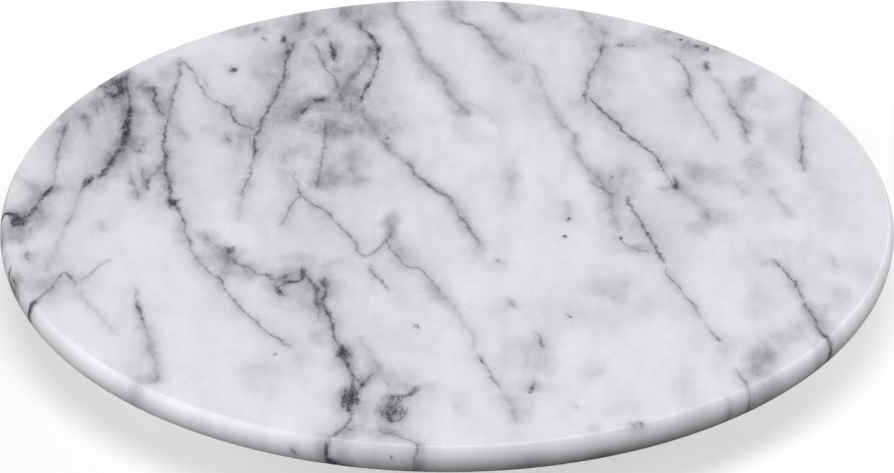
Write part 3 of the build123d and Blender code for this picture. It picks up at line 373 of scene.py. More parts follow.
VEIN_REACH = 4.5          # a dark line has no effect further from its middle than this
VEIN_FADE = 1.6           # it fades out over this length before that
HAZE_REACH = 15           # the greys round a vein stop this far outside the box that holds it
LAYER_GAP = 9.0           # veins of one layer stay this far apart
EDGE_SLANT = (0.10, 0.0)  # veins go down through the stone with this slope
END_TAPER = 5.0           # a vein thins out over this length at a free end
SHORT_TAPER = 0.45        # a short vein does so over this share of its own length
END_WIDTH = 0.45          # share of its width that a vein keeps at a free end
PATH_STEP = 1.2           # length of the short steps that a vein is drawn with
CLOUD_DEPTH = 1.55        # strengthens every soft grey area
RUFFLES = [(5.0, 17.0), (2.2, 6.0)]    # how far a cloud's outline is shifted, and the size of the unevenness
EDGE_POLISH = 0.35        # of the top face's
RIM_LIP = 0.05            # the edge's softer polish starts this far outside the rim
FACE_BAND = 0.1           # points this near the top's height count as the top face
HONED_BAND = 0.2          # points this near the bottom's height are honed


# ---- Camera and light -----------------------------------------------------------------------------------

VIEW_ELEVATION = radians(30.45)
VIEW_DISTANCE = 2.44
LENS = 287.2
SENSOR = 36.0
# Soft round lamps: place in metres, diameter, watts. The room is nearly dark in front of the slab and below
# it, so the front edge darkens towards its bottom.
LAMPS = {
    "overhead": ((0.0, -0.8, 2.1), 1.4, 31),
    "left": ((-2.0, -0.2, 1.0), 1.2, 12),
    "left_front": ((-1.75, -1.5, 1.1), 1.2, 16),
    "left_low": ((-1.9, -1.2, 0.45), 0.9, 15),
    "right": ((2.3, 0.0, 0.9), 1.2, 31),
    "right_back": ((1.7, 1.5, 1.2), 1.2, 22),
    "front": ((0.3, -2.4, 0.9), 1.2, 4),
}
ROOM_COLOUR = (0.96, 0.96, 1.0, 1)
ROOM_LIGHT = 0.03
FLOOR_MIDDLE = 0.136
FLOOR_RADIUS = 2.6
WALL_RADIUS = 10
WALL_HEIGHT = 5
WALL_BEND = 2             # radius of the curve that takes the floor up into the wall
BEND_STEPS = 9
STAGE_GLOW = 0.45
STAGE_GAP = 0.0002        # the floor lies this far under the feet
STAGE_STEPS = 96

# ---- The base -------------------------------------------------------------------------------------------

STAVE_WIDTH = 44.0
STAVE_START = 12.0        # the joints between staves are shifted this far from the disc's middle


# ---- Node helpers ---------------------------------------------------------------------------------------

class Shader:
    """One material's node tree. Each call adds a node and returns its output."""

    def __init__(self, name):
        self.material = bpy.data.materials.new(name)
        self.material.use_nodes = True
        self.tree = self.material.node_tree
        self.surface = self.tree.nodes["Principled BSDF"]
        self.mm = self.scaled(self.node("TexCoord").outputs["Object"], (1 / MM,) * 3)

    def node(self, kind, inputs=None, **settings):
        made = self.tree.nodes.new("ShaderNode" + kind)
        for key, value in settings.items():
            setattr(made, key, value)
        for key, value in (inputs or {}).items():
            if isinstance(value, bpy.types.NodeSocket):
                self.tree.links.new(value, made.inputs[key])
            else:
                made.inputs[key].default_value = value
        return made

    def attribute(self, name, output):
        return self.node("Attribute", attribute_name=name).outputs[output]

    def calc(self, operation, *values):
        return self.node("Math", dict(enumerate(values)), operation=operation).outputs[0]

    def plus(self, a, b):
        return self.calc("ADD", a, b)

    def less(self, a, b):
        return self.calc("SUBTRACT", a, b)

    def times(self, value, *others):
        for other in others:
            value = self.calc("MULTIPLY", value, other)
        return value

    def scaled(self, where, factors):
        return self.node("VectorMath", {0: where, 1: factors}, operation="MULTIPLY").outputs[0]

    def stretched(self, x, y, z):
        """Millimetre coordinates, each divided by its own length."""
        return self.scaled(self.mm, (1 / x, 1 / y, 1 / z))

    def noise(self, size, detail=3.0, roughness=0.55, distortion=0.0, where=None):
        """Smooth noise about 0.5, with features of this size in the coordinates' units."""
        inputs = {"Vector": where or self.mm, "Scale": 1 / size, "Detail": detail, "Roughness": roughness,
                  "Distortion": distortion}
        return self.node("TexNoise", inputs).outputs[0]

    def cells(self, size, output="Distance", where=None):
        inputs = {"Vector": where or self.mm, "Scale": 1 / size}
        return self.node("TexVoronoi", inputs).outputs[output]

    def spread(self, value, low, high, to_low=0.0, to_high=1.0, smooth=False):
        """value taken from low..high to to_low..to_high, and clamped."""
        inputs = {"Value": value, "From Min": low, "From Max": high, "To Min": to_low, "To Max": to_high}
        kind = "SMOOTHSTEP" if smooth else "LINEAR"
        return self.node("MapRange", inputs, interpolation_type=kind).outputs[0]

    def vary(self, value, to_low, to_high):
        """The range that most of a noise lies in, taken to to_low..to_high."""
        return self.spread(value, 0.3, 0.7, to_low, to_high)

    def shift(self, value, reach):
        """A noise taken to -reach..reach."""
        return self.spread(value, 0.25, 0.75, -reach, reach)

    def mix(self, share, a, b):
        return self.node("Mix", {0: share, 6: a, 7: b}, data_type="RGBA").outputs[2]

    def ramp(self, value, *stops):
        """A colour ramp through these (place, colour) stops."""
        made = self.node("ValToRGB", {0: value})
        marks = made.color_ramp.elements
        while len(marks) < len(stops):
            marks.new(0.5)
        for mark, (place, colour) in zip(marks, stops):
            mark.position = place
            mark.color = (*colour, 1)
        return made.outputs[0]

    def bump(self, height, strength, distance):
        inputs = {"Height": height, "Strength": strength, "Distance": distance}
        return self.node("Bump", inputs).outputs[0]

    def finish(self, **sockets):
        """Sets the surface's sockets by name, with underscores for spaces."""
        for key, value in sockets.items():
            socket = self.surface.inputs[key.replace("_", " ")]
            if isinstance(value, bpy.types.NodeSocket):
                self.tree.links.new(value, socket)
            else:
                socket.default_value = value
        return self.material


# ---- The slab's mesh ------------------------------------------------------------------------------------

def angles(count):
    return np.arange(count) * 2 * pi / count


def ring(radius, count, centre=(0.0, 0.0)):
    turns = angles(count)
    return np.column_stack((centre[0] + radius * np.cos(turns), centre[1] + radius * np.sin(turns)))


def flat_disc(rim, spacing, holes):
    """Plan points and triangles of a disc inside this rim ring, with round holes left out of it."""
    radius = np.hypot(*rim[0])
    inner = ring(radius - RIM_MARGIN, len(rim))
    steps = np.arange(-radius, radius, spacing)
    x, y = np.meshgrid(steps, steps)
    x[::2] += spacing / 2
    grid = np.column_stack((x.ravel(), y.ravel()))
    grid = grid[np.hypot(*grid.T) < radius - RIM_MARGIN - spacing / 2]
    rings = [rim]
    for centre in holes:
        grid = grid[np.hypot(*(grid - centre).T) > HOLE_RADIUS + spacing / 2]
        rings.append(ring(HOLE_RADIUS, HOLE_STEPS, centre))
    points = np.vstack(rings + [inner, grid])
    edges, start = [], 0
    for loop in rings:
        edges += [(start + i, start + (i + 1) % len(loop)) for i in range(len(loop))]
        start += len(loop)
    found = delaunay_2d_cdt([Vector(p) for p in points], edges, [], 0, 1e-6)
    points = np.array([tuple(p) for p in found[0]])
    triangles = np.array(found[2])
    for centre in holes:
        middles = points[triangles].mean(axis=1)
        triangles = triangles[np.hypot(*(middles - centre).T) > HOLE_RADIUS]
    return points, triangles


def edge_profile(radius, top, bottom):
    """(radius, height, share of the wear) for each row, from the top face's rim to the bottom face's."""
    half = (top - bottom) / 2
    bow = (half ** 2 + EDGE_BOW ** 2) / (2 * EDGE_BOW)
    centre = radius - bow
    reach = sqrt((bow - ARRIS) ** 2 - (half - ARRIS) ** 2)
    turn = atan2(half - ARRIS, reach)
    middle = (top + bottom) / 2
    corner = []
    for i in range(ARRIS_STEPS + 1):
        angle = pi / 2 + (turn - pi / 2) * i / ARRIS_STEPS
        wear = sin(pi * (i + 0.6) / (ARRIS_STEPS + 1.2))
        corner.append((centre + reach + ARRIS * cos(angle), half - ARRIS + ARRIS * sin(angle), wear))
    side = []
    for i in range(1, BOW_STEPS):
        angle = turn * (1 - 2 * i / BOW_STEPS)
        wear = SHOULDER_WEAR if i in (1, BOW_STEPS - 1) else 0.0
        side.append((centre + bow * cos(angle), bow * sin(angle), wear))
    under = [(r, -z, wear) for r, z, wear in reversed(corner)]
    return [(r, middle + z, wear) for r, z, wear in corner + side + under]


def rim_wear(rng, seed):
    """How deep the arris is worn at each of its points: a slow waviness and some small chips."""
    places = [Vector((WAVE_LOOP * cos(t), WAVE_LOOP * sin(t), seed)) for t in angles(RIM_STEPS)]
    waves = np.array([noise.fractal(place, 0.6, 2.0, 4) for place in places])
    wear = WAVE_DEPTH * (1 + np.clip(waves, -1, 1)) / 2
    step = 2 * pi * CHIP_RADIUS / RIM_STEPS
    for _ in range(CHIP_COUNT):
        middle = rng.uniform(0, RIM_STEPS)
        half = rng.uniform(*CHIP_HALF_LENGTH) / step
        shallow = rng.random() < SHALLOW_SHARE
        depth = rng.uniform(*(CHIP_DEPTH if shallow else DEEP_CHIP_DEPTH))
        away = np.abs((np.arange(RIM_STEPS) - middle + RIM_STEPS / 2) % RIM_STEPS - RIM_STEPS / 2)
        wear = np.maximum(wear, depth * np.sqrt(np.clip(1 - (away / half) ** 2, 0, 1)))
    return wear


def edge_rows(profile):
    """The edge: a ring of vertices for each row of the profile, worn at the arrises, and quads between."""
    rng = random.Random(SEED)
    upper_wear, lower_wear = rim_wear(rng, 3.0), rim_wear(rng, 8.0)
    turns = angles(RIM_STEPS)
    vertices, faces = [], []
    for i, (r, z, share) in enumerate(profile):
        upper = i < len(profile) // 2
        worn = share * (upper_wear if upper else lower_wear)
        radii = r - worn * WEAR_INWARD
        drop = 0 if i in (0, len(profile) - 1) else worn * WEAR_ALONG
        heights = np.broadcast_to(z - drop if upper else z + drop, radii.shape)
        vertices += list(zip(radii * np.cos(turns), radii * np.sin(turns), heights))
    for row in range(len(profile) - 1):
        for i in range(RIM_STEPS):
            j = (i + 1) % RIM_STEPS
            above, below = row * RIM_STEPS, (row + 1) * RIM_STEPS
            faces.append((above + i, below + i, below + j, above + j))
    return vertices, faces


def add_flat_face(vertices, faces, rim_start, height, spacing, holes):
    """Fills the ring of vertices that starts at rim_start. A face with holes is the one that looks down."""
    rim = np.array(vertices[rim_start:rim_start + RIM_STEPS])[:, :2]
    points, triangles = flat_disc(rim, spacing, holes)
    if holes:
        triangles = triangles[:, ::-1]
    start = len(vertices)
    vertices += [(x, y, height) for x, y in points]
    faces += [tuple(int(start + k) for k in t) for t in triangles]


def add_blind_hole(vertices, faces, centre, bottom):
    mouth = ring(HOLE_RADIUS, HOLE_STEPS, centre)
    start = len(vertices)
    vertices += [(x, y, bottom) for x, y in mouth] + [(x, y, bottom + HOLE_DEPTH) for x, y in mouth]
    vertices.append((*centre, bottom + HOLE_DEPTH))
    for i in range(HOLE_STEPS):
        j = (i + 1) % HOLE_STEPS
        faces.append((start + j, start + i, start + HOLE_STEPS + i, start + HOLE_STEPS + j))
        faces.append((start + HOLE_STEPS + j, start + HOLE_STEPS + i, start + 2 * HOLE_STEPS))


def slab_mesh():
    """Vertices in millimetres and faces: the bowed edge with its arrises, two flat faces, blind holes."""
    low, high = (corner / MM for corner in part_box("marble_slab"))
    radius, top, bottom = min(high.x, high.y, -low.x, -low.y), high.z, low.z
    vertices, faces = edge_rows(edge_profile(radius, top, bottom))
    holes = [(HOLE_CIRCLE * cos(a), HOLE_CIRCLE * sin(a)) for a in angles(HOLE_COUNT)]
    last_row = len(vertices) - RIM_STEPS
    add_flat_face(vertices, faces, 0, top, TOP_GRID, [])
    add_flat_face(vertices, faces, last_row, bottom, BOTTOM_GRID, holes)
    for centre in holes:
        add_blind_hole(vertices, faces, centre, bottom)
    return vertices, faces, top, bottom


# ---- The vein pattern on the slab's points --------------------------------------------------------------

def smooth_path(points):
    """A smooth line through the points, in short steps."""
    p = np.array([points[0]] + list(points) + [points[-1]], float)
    line = []
    for a, b, c, d in zip(p, p[1:], p[2:], p[3:]):
        steps = max(2, int(np.hypot(*(c - b)) / PATH_STEP))
        for t in np.arange(steps) / steps:
            line.append(0.5 * (2 * b + (c - a) * t + (2 * a - 5 * b + 4 * c - d) * t ** 2
                               + (3 * b - a - 3 * c + d) * t ** 3))
    return np.array(line + [p[-1]])


def layers_of(paths):
    """Veins shared out so that no two in one layer come near each other."""
    layers = []
    for index, path in enumerate(paths):
        for layer in layers:
            others = np.vstack([paths[i] for i in layer])
            gaps = np.hypot(*(path[:, None] - others[None]).transpose(2, 0, 1))
            if gaps.min() > LAYER_GAP:
                layer.append(index)
                break
        else:
            layers.append([index])
    return layers


def nearest(points, path):
    """Each point's signed distance to the path, how far along the path that is, and the path's length."""
    best = np.full(len(points), np.inf)
    signed = np.zeros(len(points))
    along = np.zeros(len(points))
    lengths = np.hypot(*(path[1:] - path[:-1]).T)
    starts = np.concatenate(([0], np.cumsum(lengths)))
    for i, length in enumerate(lengths):
        step = (path[i + 1] - path[i]) / length
        away = points - path[i]
        t = np.clip(away @ step, 0, length)
        gap = away - t[:, None] * step
        distance = np.hypot(*gap.T)
        closer = distance < best
        side = np.sign(step[0] * away[:, 1] - step[1] * away[:, 0])
        best[closer] = distance[closer]
        signed[closer] = (distance * np.where(side < 0, -1, 1))[closer]
        along[closer] = (starts[i] + t)[closer]
    return signed, along, starts[-1]


def eased(value):
    value = np.clip(value, 0, 1)
    return value * value * (3 - 2 * value)


def bell(distance, reach):
    return np.exp(-(distance / reach) ** 2)


def oval(points, x, y, along, across, strength, lean=0):
    """A soft oval at each point: its full strength at its centre, 0.37 of it at its outline."""
    away = points - (x, y)
    c, s = cos(radians(lean)), sin(radians(lean))
    u = away @ (s, c)
    v = away @ (c, -s)
    return strength * np.exp(-(u / along) ** 2 - (v / across) ** 2)


def spots(points, places):
    """The strongest of these ovals at each point."""
    total = np.zeros(len(points))
    for place in places:
        total = np.maximum(total, oval(points, *place))
    return total


def edge_places(vertices, top, rim):
    """Where each point lies along the edge to the right of its front, and over its upper rim."""
    x, y, z = vertices.T
    inside = np.maximum(rim - np.hypot(x, y), 0)
    over = z - top + np.where(z > top - FACE_BAND, inside, -inside)
    return np.column_stack((rim * np.arctan2(x, -y), over))


def ruffled(plan):
    """The plan's points shifted about, so that what is drawn with plain ovals gets an uneven outline."""
    noise.seed_set(SEED)    # without this, Blender seeds it from the clock
    shifts = np.zeros_like(plan)
    for reach, scale in RUFFLES:
        moved = [noise.noise_vector(Vector((x / scale, y / scale, scale))) for x, y in plan]
        shifts += reach * np.array(moved)[:, :2]
    return plan + shifts


def plan_places(vertices, top, rim):
    """Where each point of the slab lies on the plan: the edge is folded up to the rim, and depth slants."""
    plan = vertices[:, :2].copy()
    reach = np.hypot(*plan.T)
    outside = reach > rim
    plan[outside] *= (rim / reach[outside])[:, None]
    depth = (top - vertices[:, 2])[:, None]
    return plan + depth * EDGE_SLANT


def vein_taper(path, along, length, rim):
    """1 along a vein, going down to 0 at each end that lies on the face and not beyond the rim."""
    taper = np.ones(len(along))
    reach = min(END_TAPER, length * SHORT_TAPER)
    if np.hypot(*path[0]) < rim:
        taper *= eased(along / reach)
    if np.hypot(*path[-1]) < rim:
        taper *= eased((length - along) / reach)
    return taper


def draw_layer(plan, veins, rim, shadow, haze):
    """One layer's (signed distance, half-width, darkness) at each point. Its veins add to the two greys."""
    values = np.zeros((len(plan), 3), np.float32)
    values[:, 0] = VEIN_REACH * 2
    closest = np.full(len(plan), VEIN_REACH * 2)
    for kind, path in veins:
        half_width, darkness, near_reach, near_grey, far_reach, far_grey = KINDS[kind]
        box = (plan > path.min(0) - HAZE_REACH).all(1) & (plan < path.max(0) + HAZE_REACH).all(1)
        near = np.flatnonzero(box)
        signed, along, length = nearest(plan[near], path)
        distance = np.abs(signed)
        taper = vein_taper(path, along, length, rim)
        faded = np.sqrt(taper)
        shadow[near] = 1 - (1 - shadow[near]) * (1 - faded * near_grey * bell(distance, near_reach))
        haze[near] = np.maximum(haze[near], faded * far_grey * bell(distance, far_reach))
        closer = distance < closest[near]
        chosen = near[closer]
        closest[chosen] = distance[closer]
        values[chosen, 0] = signed[closer]
        values[chosen, 1] = half_width * (END_WIDTH + (1 - END_WIDTH) * taper[closer])
        values[chosen, 2] = (darkness * taper * eased((VEIN_REACH - distance) / VEIN_FADE))[closer]
    return values


def add_pattern(mesh, vertices, top, bottom):
    """Writes the pattern to the mesh: a vector for each layer of veins, and the haze, patch and polish."""
    rim = np.hypot(*vertices[:RIM_STEPS, :2].T).min()
    plan = plan_places(vertices, top, rim)
    edge = edge_places(vertices, top, rim)
    paths = [smooth_path(points) for _, points in VEINS]
    shadow, haze = np.zeros(len(plan)), np.zeros(len(plan))
    layers = layers_of(paths)
    for number, layer in enumerate(layers):
        values = draw_layer(plan, [(VEINS[i][0], paths[i]) for i in layer], rim, shadow, haze)
        made = mesh.attributes.new(f"vein_{number}", "FLOAT_VECTOR", "POINT")
        made.data.foreach_set("vector", values.ravel())
    clouds = np.maximum(spots(ruffled(plan), CLOUDS), spots(edge, EDGE_CLOUDS))
    polish = np.where(np.hypot(*vertices[:, :2].T) > rim + RIM_LIP, EDGE_POLISH, 1.0)
    polish[vertices[:, 2] < bottom + HONED_BAND] = 0
    fields = {
        "haze": 1 - (1 - shadow) * (1 - haze) * (1 - CLOUD_DEPTH * clouds),
        "patch": np.maximum(spots(plan, PATCHES), spots(edge, EDGE_PATCHES)),
        "polish": polish,
    }
    for name, value in fields.items():
        mesh.attributes.new(name, "FLOAT", "POINT").data.foreach_set("value", np.asarray(value, np.float32))
    return len(layers)


# ---- The marble -----------------------------------------------------------------------------------------

def bare_of_veins(s, layer_count, grit, patchy):
    """The share of the stone that the veins leave bare: each is a wavering dark line with stray strands."""
    wander = s.plus(s.shift(s.noise(5.5, 2.0, 0.5), 0.75), s.shift(s.noise(1.7, 2.0, 0.6), 0.32))
    stray = s.shift(s.noise(11.0, 2.0, 0.55, 0.3), 3.2)
    swell = s.vary(patchy, 0.6, 1.7)
    broken = s.times(s.spread(grit, 0.32, 0.60, 0.45, 1.1), s.spread(patchy, 0.34, 0.62, 0.5, 1.05))
    bare = 1.0
    for number in range(layer_count):
        vector = s.attribute(f"vein_{number}", "Vector")
        distance, half_width, darkness = s.node("SeparateXYZ", {0: vector}).outputs
        width = s.times(half_width, swell)
        main = s.calc("DIVIDE", s.calc("ABSOLUTE", s.plus(distance, wander)), width)
        main = s.spread(main, 1.7, 0.0, smooth=True)
        strand = s.calc("DIVIDE", s.calc("ABSOLUTE", s.plus(distance, stray)), width)
        strand = s.spread(strand, 1.4, 0.0, 0.0, 0.16, smooth=True)
        strength = s.times(s.calc("MAXIMUM", main, strand), darkness, broken)
        bare = s.times(s.less(1.0, strength), bare)
    return bare


def greyness(s, spot, patchy):
    """How grey the stone is between the veins: the haze in wisps, with a faint lace and soot inside it."""
    haze = s.attribute("haze", "Fac")
    wisps = s.noise(1.0, 4.0, 0.62, 0.3, s.stretched(6, 13, 9))
    crinkle = s.calc("ABSOLUTE", s.less(s.noise(10.0, 2.0, 0.5, 0.4), 0.5))
    crinkle = s.times(s.spread(crinkle, 0.022, 0.0, smooth=True), s.spread(patchy, 0.42, 0.6))
    soot = s.times(s.spread(s.cells(1.5), 0.28, 0.10), s.spread(patchy, 0.5, 0.62))
    lace = s.plus(s.times(crinkle, 0.16), s.times(soot, 0.22))
    grey = s.times(haze, s.spread(wisps, 0.28, 0.72, 0.55, 1.5))
    grey = s.plus(grey, s.times(lace, s.spread(haze, 0.08, 0.4)))
    return s.calc("MINIMUM", s.plus(grey, s.times(spot, 0.5)), 0.92)


def marble(layer_count):
    """White marble with grey veins, polished above and honed below."""
    s = Shader("marble")
    grit = s.noise(0.75, 2.0, 0.65)
    patchy = s.noise(4.5, 3.0, 0.6)
    spot = s.attribute("patch", "Fac")
    crystals = s.noise(1.0, 4.0, 0.7, 0.2, s.stretched(1.5, 4.2, 3))
    clot = s.spread(s.plus(spot, s.shift(crystals, 0.42)), 0.26, 0.80, smooth=True)
    clot = s.times(clot, s.spread(grit, 0.3, 0.6, 0.5, 0.98))
    bare = s.times(bare_of_veins(s, layer_count, grit, patchy), s.less(1.0, clot))

    streaks = s.noise(1.0, 4.0, 0.6, 0.4, s.stretched(14, 46, 30))
    mottle = s.noise(10.0, 5.0, 0.62, 0.8)
    body = s.ramp(streaks, (0.30, (0.64, 0.635, 0.67)), (0.5, (0.70, 0.693, 0.725)),
                  (0.7, (0.745, 0.738, 0.77)))
    body = s.mix(s.spread(mottle, 0.45, 0.75, 0.0, 0.22), body, (0.50, 0.50, 0.54, 1))
    body = s.mix(greyness(s, spot, patchy), body, (0.22, 0.22, 0.25, 1))
    colour = s.mix(s.less(1.0, bare), body, (0.035, 0.035, 0.045, 1))
    # Painted glints: tiny near-white dots in the colour stand in for the sparkle of crystal faces.
    painted_glints = s.spread(s.cells(8.0), 0.045, 0.02)
    colour = s.mix(s.times(painted_glints, 0.9), colour, (0.95, 0.95, 0.97, 1))

    fine = s.noise(1.2, 3.0, 0.6)
    polished = s.vary(fine, 0.17, 0.27)
    honed = s.vary(fine, 0.55, 0.68)
    rough = s.node("Mix", {0: s.attribute("polish", "Fac"), 2: honed, 3: polished}).outputs[0]
    grain = s.plus(s.times(s.noise(0.5, 2.0), 0.4), s.noise(16.0, 2.0))
    return s.finish(Base_Color=colour, Roughness=rough, Normal=s.bump(grain, 0.05, 0.0006), IOR=1.5)


def build_slab():
    vertices, faces, top, bottom = slab_mesh()
    mesh = bpy.data.meshes.new("marble_top")
    mesh.from_pydata([(x * MM, y * MM, z * MM) for x, y, z in vertices], [], faces)
    work = bmesh.new()
    work.from_mesh(mesh)
    bmesh.ops.remove_doubles(work, verts=work.verts, dist=1e-6)
    bmesh.ops.recalc_face_normals(work, faces=work.faces)
    work.to_mesh(mesh)
    work.free()
    mesh.polygons.foreach_set("use_smooth", [True] * len(mesh.polygons))
    mesh.set_sharp_from_angle(angle=SOFT_ANGLE)
    places = np.zeros(len(mesh.vertices) * 3)
    mesh.vertices.foreach_get("co", places)
    layers = add_pattern(mesh, places.reshape(-1, 3) / MM, top, bottom)
    slab = bpy.data.objects.new("marble_top", mesh)
    bpy.context.scene.collection.objects.link(slab)
    mesh.materials.append(marble(layers))
    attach(slab, "platter")
    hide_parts("marble_slab")
    print("slab", len(mesh.vertices), "points", layers, "vein layers")


# ---- The other materials --------------------------------------------------------------------------------

def oiled_wood():
    """Edge-glued staves of a reddish-brown hardwood: grain along y, end grain at the disc's ends."""
    s = Shader("oiled_wood")
    across = s.plus(s.node("SeparateXYZ", {0: s.mm}).outputs["X"], STAVE_START)
    stave = s.calc("FLOOR", s.calc("DIVIDE", across, STAVE_WIDTH))
    dice = s.node("TexWhiteNoise", {"W": stave}, noise_dimensions="1D").outputs
    jump = s.scaled(dice["Color"], (70, 400, 60))
    shifted = s.node("VectorMath", {0: s.mm, 1: jump}).outputs[0]
    rings = s.node("TexWave", {"Vector": s.scaled(shifted, (1, 0.06, 1)), "Scale": 0.075, "Distortion": 5.0,
                               "Detail": 3.0, "Detail Scale": 0.9, "Detail Roughness": 0.6},
                   wave_type="RINGS", rings_direction="Y", wave_profile="SAW").outputs["Fac"]
    fibre = s.noise(0.55, 4.0, 0.65, where=s.scaled(shifted, (1, 0.03, 1)))
    pores = s.spread(s.cells(0.9, where=s.scaled(shifted, (1, 0.11, 1))), 0.20, 0.08)
    pores = s.times(pores, s.spread(rings, 0.2, 0.9, 0.4, 1))
    seam = s.spread(s.calc("PINGPONG", across, STAVE_WIDTH / 2), 0.16, 0.05)
    marks = s.calc("MAXIMUM", pores, seam)
    wood = s.ramp(rings, (0.0, (0.21, 0.098, 0.042)), (0.55, (0.27, 0.135, 0.062)),
                  (1.0, (0.145, 0.062, 0.028)))
    wood = s.mix(s.spread(fibre, 0.35, 0.7, 0.0, 0.45), wood, (0.32, 0.17, 0.085, 1))
    wood = s.mix(s.times(dice["Value"], 0.45), wood, (0.115, 0.05, 0.024, 1))
    wood = s.mix(s.times(marks, 0.75), wood, (0.035, 0.016, 0.009, 1))
    rough = s.plus(s.vary(fibre, 0.38, 0.50), s.times(pores, 0.15))
    height = s.less(s.times(fibre, 0.5), marks)
    return s.finish(Base_Color=wood, Roughness=rough, Normal=s.bump(height, 0.35, 0.0002))


def black_rubber():
    """Moulded rubber: matt, faintly mottled, with a pale bloom."""
    s = Shader("black_rubber")
    bloom = s.spread(s.noise(5.0, 4.0, 0.6), 0.45, 0.75)
    colour = s.mix(s.times(bloom, 0.5), (0.020, 0.020, 0.021, 1), (0.060, 0.058, 0.055, 1))
    rough = s.vary(s.noise(1.5, 3.0), 0.62, 0.80)
    skin = s.plus(s.noise(0.35, 2.0), s.times(s.noise(2.5, 2.0), 0.5))
    return s.finish(Base_Color=colour, Roughness=rough, Normal=s.bump(skin, 0.3, 0.0002))


def metal(s, colour, rough, height, strength):
    """The material of a metal whose surface has this height pattern, pressed in by this strength."""
    normal = s.bump(height, strength, 0.0001)
    return s.finish(Base_Color=colour, Metallic=1.0, Roughness=rough, Normal=normal)


def zinc_steel():
    """Zinc-plated pressed sheet: a pale bluish spangle, rolling lines and faint handling smudges."""
    s = Shader("zinc_steel")
    ripple = s.node("TexNoise", {"Vector": s.mm, "Scale": 0.4}).outputs["Color"]
    spangle = s.cells(3.2, "Color", s.node("VectorMath", {0: s.mm, 1: ripple}).outputs[0])
    tone = s.node("SeparateColor", {0: spangle}).outputs[0]
    rolled = s.noise(1.0, 3.0, 0.6, where=s.stretched(0.25, 30, 30))
    smudge = s.spread(s.noise(14.0, 4.0, 0.6), 0.48, 0.68)
    colour = s.mix(s.times(tone, 0.6), (0.56, 0.58, 0.61, 1), (0.69, 0.71, 0.74, 1))
    colour = s.mix(s.times(smudge, 0.35), colour, (0.44, 0.44, 0.45, 1))
    rough = s.plus(s.vary(rolled, 0.24, 0.34), s.times(smudge, 0.12))
    return metal(s, colour, rough, rolled, 0.12)


def screw_steel():
    """Plated screws: fine turning lines, and stains that leave them darker in places."""
    s = Shader("screw_steel")
    turned = s.noise(1.0, 2.0, 0.6, where=s.stretched(6, 6, 0.12))
    stain = s.spread(s.noise(1.8, 3.0, 0.6), 0.42, 0.68)
    colour = s.mix(stain, (0.66, 0.66, 0.67, 1), (0.46, 0.45, 0.44, 1))
    return metal(s, colour, s.vary(turned, 0.22, 0.38), turned, 0.15)


def ball_steel():
    """Ground bearing balls under a thin uneven film of grease."""
    s = Shader("ball_steel")
    film = s.spread(s.noise(1.6, 3.0, 0.55), 0.42, 0.66)
    colour = s.mix(film, (0.74, 0.74, 0.75, 1), (0.60, 0.58, 0.53, 1))
    return metal(s, colour, s.spread(film, 0.0, 1.0, 0.07, 0.20), film, 0.1)


def turned_brass():
    """Brass bushes with tool lines round them and a light tarnish."""
    s = Shader("turned_brass")
    tool = s.noise(1.0, 2.0, 0.6, where=s.stretched(5, 5, 0.15))
    tarnish = s.spread(s.noise(2.0, 4.0, 0.6), 0.40, 0.70)
    colour = s.mix(tarnish, (0.74, 0.54, 0.24, 1), (0.42, 0.27, 0.11, 1))
    return metal(s, colour, s.vary(tool, 0.22, 0.40), tool, 0.2)


def natural_nylon():
    """Undyed nylon: cream, slightly translucent, with flow marks and a little grease."""
    s = Shader("natural_nylon")
    flow = s.noise(1.0, 4.0, 0.6, 1.5, s.stretched(9, 9, 2))
    grease = s.spread(s.noise(3.0, 3.0, 0.6), 0.50, 0.70)
    colour = s.ramp(flow, (0.35, (0.70, 0.66, 0.54)), (0.65, (0.80, 0.77, 0.67)))
    colour = s.mix(s.times(grease, 0.4), colour, (0.55, 0.47, 0.31, 1))
    rough = s.spread(grease, 0.0, 1.0, 0.48, 0.28)
    return s.finish(Base_Color=colour, Roughness=rough, Normal=s.bump(flow, 0.1, 0.0001),
                    Subsurface_Weight=0.15, Subsurface_Scale=0.001)


def closed_cell_foam():
    """Dark foam whose cut faces show its small cells, with painted shade darkening their hollows."""
    s = Shader("closed_cell_foam")
    cell = s.cells(0.7)
    tone = s.vary(s.noise(6.0, 3.0), 0.0, 1.0)
    colour = s.mix(tone, (0.045, 0.046, 0.050, 1), (0.075, 0.076, 0.080, 1))
    # Painted shade: the hollow middle of each cell is darkened.
    colour = s.mix(s.spread(cell, 0.32, 0.05, 0.0, 0.6), colour, (0.018, 0.018, 0.020, 1))
    rough = s.spread(cell, 0.1, 0.6, 0.92, 0.78)
    return s.finish(Base_Color=colour, Roughness=rough, Normal=s.bump(cell, 0.5, 0.0003))


def dress_cad_pieces():
    """Puts each finish on the CAD pieces whose material slot has its name."""
    finishes = {
        "wood": oiled_wood(),
        "rubber": black_rubber(),
        "zinc_steel": zinc_steel(),
        "screw_steel": screw_steel(),
        "ball_steel": ball_steel(),
        "brass": turned_brass(),
        "nylon": natural_nylon(),
        "foam": closed_cell_foam(),
    }
    for name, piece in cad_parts.items():
        for slot in piece.material_slots:
            if name != "marble_slab":
                slot.material = finishes[slot.material.name.split(".")[0]]


# ---- Scene ----------------------------------------------------------------------------------------------

def area_light(name, place, target, size, watts):
    data = bpy.data.lights.new(name, "AREA")
    data.shape = "DISK"
    data.size = size
    data.energy = watts
    lamp = bpy.data.objects.new(name, data)
    lamp.location = place
    lamp.rotation_euler = (Vector(target) - Vector(place)).to_track_quat("-Z", "Y").to_euler()
    bpy.context.scene.collection.objects.link(lamp)


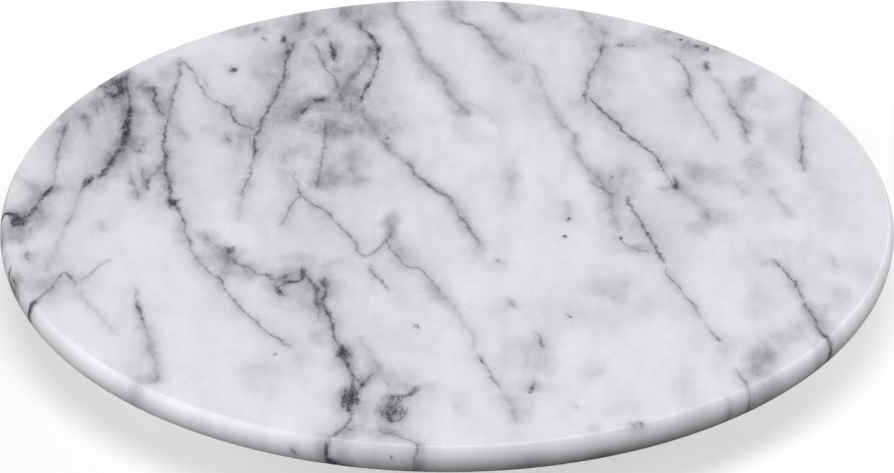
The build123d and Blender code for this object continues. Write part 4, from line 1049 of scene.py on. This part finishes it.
def stage_material(name):
    """A pale surface that glows a little. Seen from below, it lets the object's underside show."""
    s = Shader(name)
    shade = s.vary(s.noise(300.0, 2.0), 0.53, 0.55)
    colour = s.node("CombineColor", {0: shade, 1: shade, 2: shade}).outputs[0]
    s.finish(Base_Color=colour, Roughness=0.9, Specular_IOR_Level=0.0, Emission_Color=(1, 1, 1, 1),
             Emission_Strength=STAGE_GLOW)
    see_through = s.node("MixShader", {0: s.node("NewGeometry").outputs["Backfacing"],
                                       1: s.surface.outputs[0], 2: s.node("BsdfTransparent").outputs[0]})
    s.tree.links.new(see_through.outputs[0], s.tree.nodes["Material Output"].inputs["Surface"])
    return s.material


def round_stage(name, outline):
    """A surface of revolution that carries this (radius, height) outline in metres."""
    mesh = bpy.data.meshes.new(name)
    points = [(r * cos(t), r * sin(t), z - STAGE_GAP) for r, z in outline for t in angles(STAGE_STEPS)]
    faces = []
    for row in range(len(outline) - 1):
        for i in range(STAGE_STEPS):
            j = (i + 1) % STAGE_STEPS
            inner, outer = row * STAGE_STEPS, (row + 1) * STAGE_STEPS
            faces.append((inner + i, outer + i, outer + j, inner + j))
    mesh.from_pydata(points, [], faces)
    mesh.materials.append(stage_material(name))
    surface = bpy.data.objects.new(name, mesh)
    bpy.context.scene.collection.objects.link(surface)
    return surface


def build_stage():
    """A pale floor, a curved wall, a dim room and the lamps. Only the floor's middle lights the object from
    below: it brightens the base and leaves the slab's edge dark towards its bottom."""
    round_stage("floor_middle", [(0, 0), (FLOOR_MIDDLE, 0)])
    floor = round_stage("floor", [(FLOOR_MIDDLE, 0), (FLOOR_RADIUS, 0)])
    floor.visible_diffuse = False
    floor.visible_glossy = False
    bend = [(WALL_RADIUS - WALL_BEND + WALL_BEND * sin(a), WALL_BEND - WALL_BEND * cos(a))
            for a in np.linspace(0, pi / 2, BEND_STEPS)]
    wall = round_stage("wall", [(FLOOR_RADIUS, 0)] + bend + [(WALL_RADIUS, WALL_HEIGHT)])
    wall.visible_diffuse = False
    world = bpy.data.worlds.new("studio")
    bpy.context.scene.world = world
    world.use_nodes = True
    background = world.node_tree.nodes["Background"].inputs
    background["Color"].default_value = ROOM_COLOUR
    background["Strength"].default_value = ROOM_LIGHT
    for name, (place, size, watts) in LAMPS.items():
        area_light(name, place, (0, 0, 0), size, watts)


def build_camera():
    data = bpy.data.cameras.new("camera")
    data.lens = LENS
    data.sensor_width = SENSOR
    camera = bpy.data.objects.new("camera", data)
    aim = Vector((0, 0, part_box("marble_slab")[0].z))
    camera.location = aim + VIEW_DISTANCE * Vector((0, -cos(VIEW_ELEVATION), sin(VIEW_ELEVATION)))
    camera.rotation_euler = (aim - camera.location).to_track_quat("-Z", "Y").to_euler()
    bpy.context.scene.collection.objects.link(camera)
    bpy.context.scene.camera = camera


dress_cad_pieces()
build_slab()
build_stage()
build_camera()
bpy.context.scene.view_settings.view_transform = "Standard"
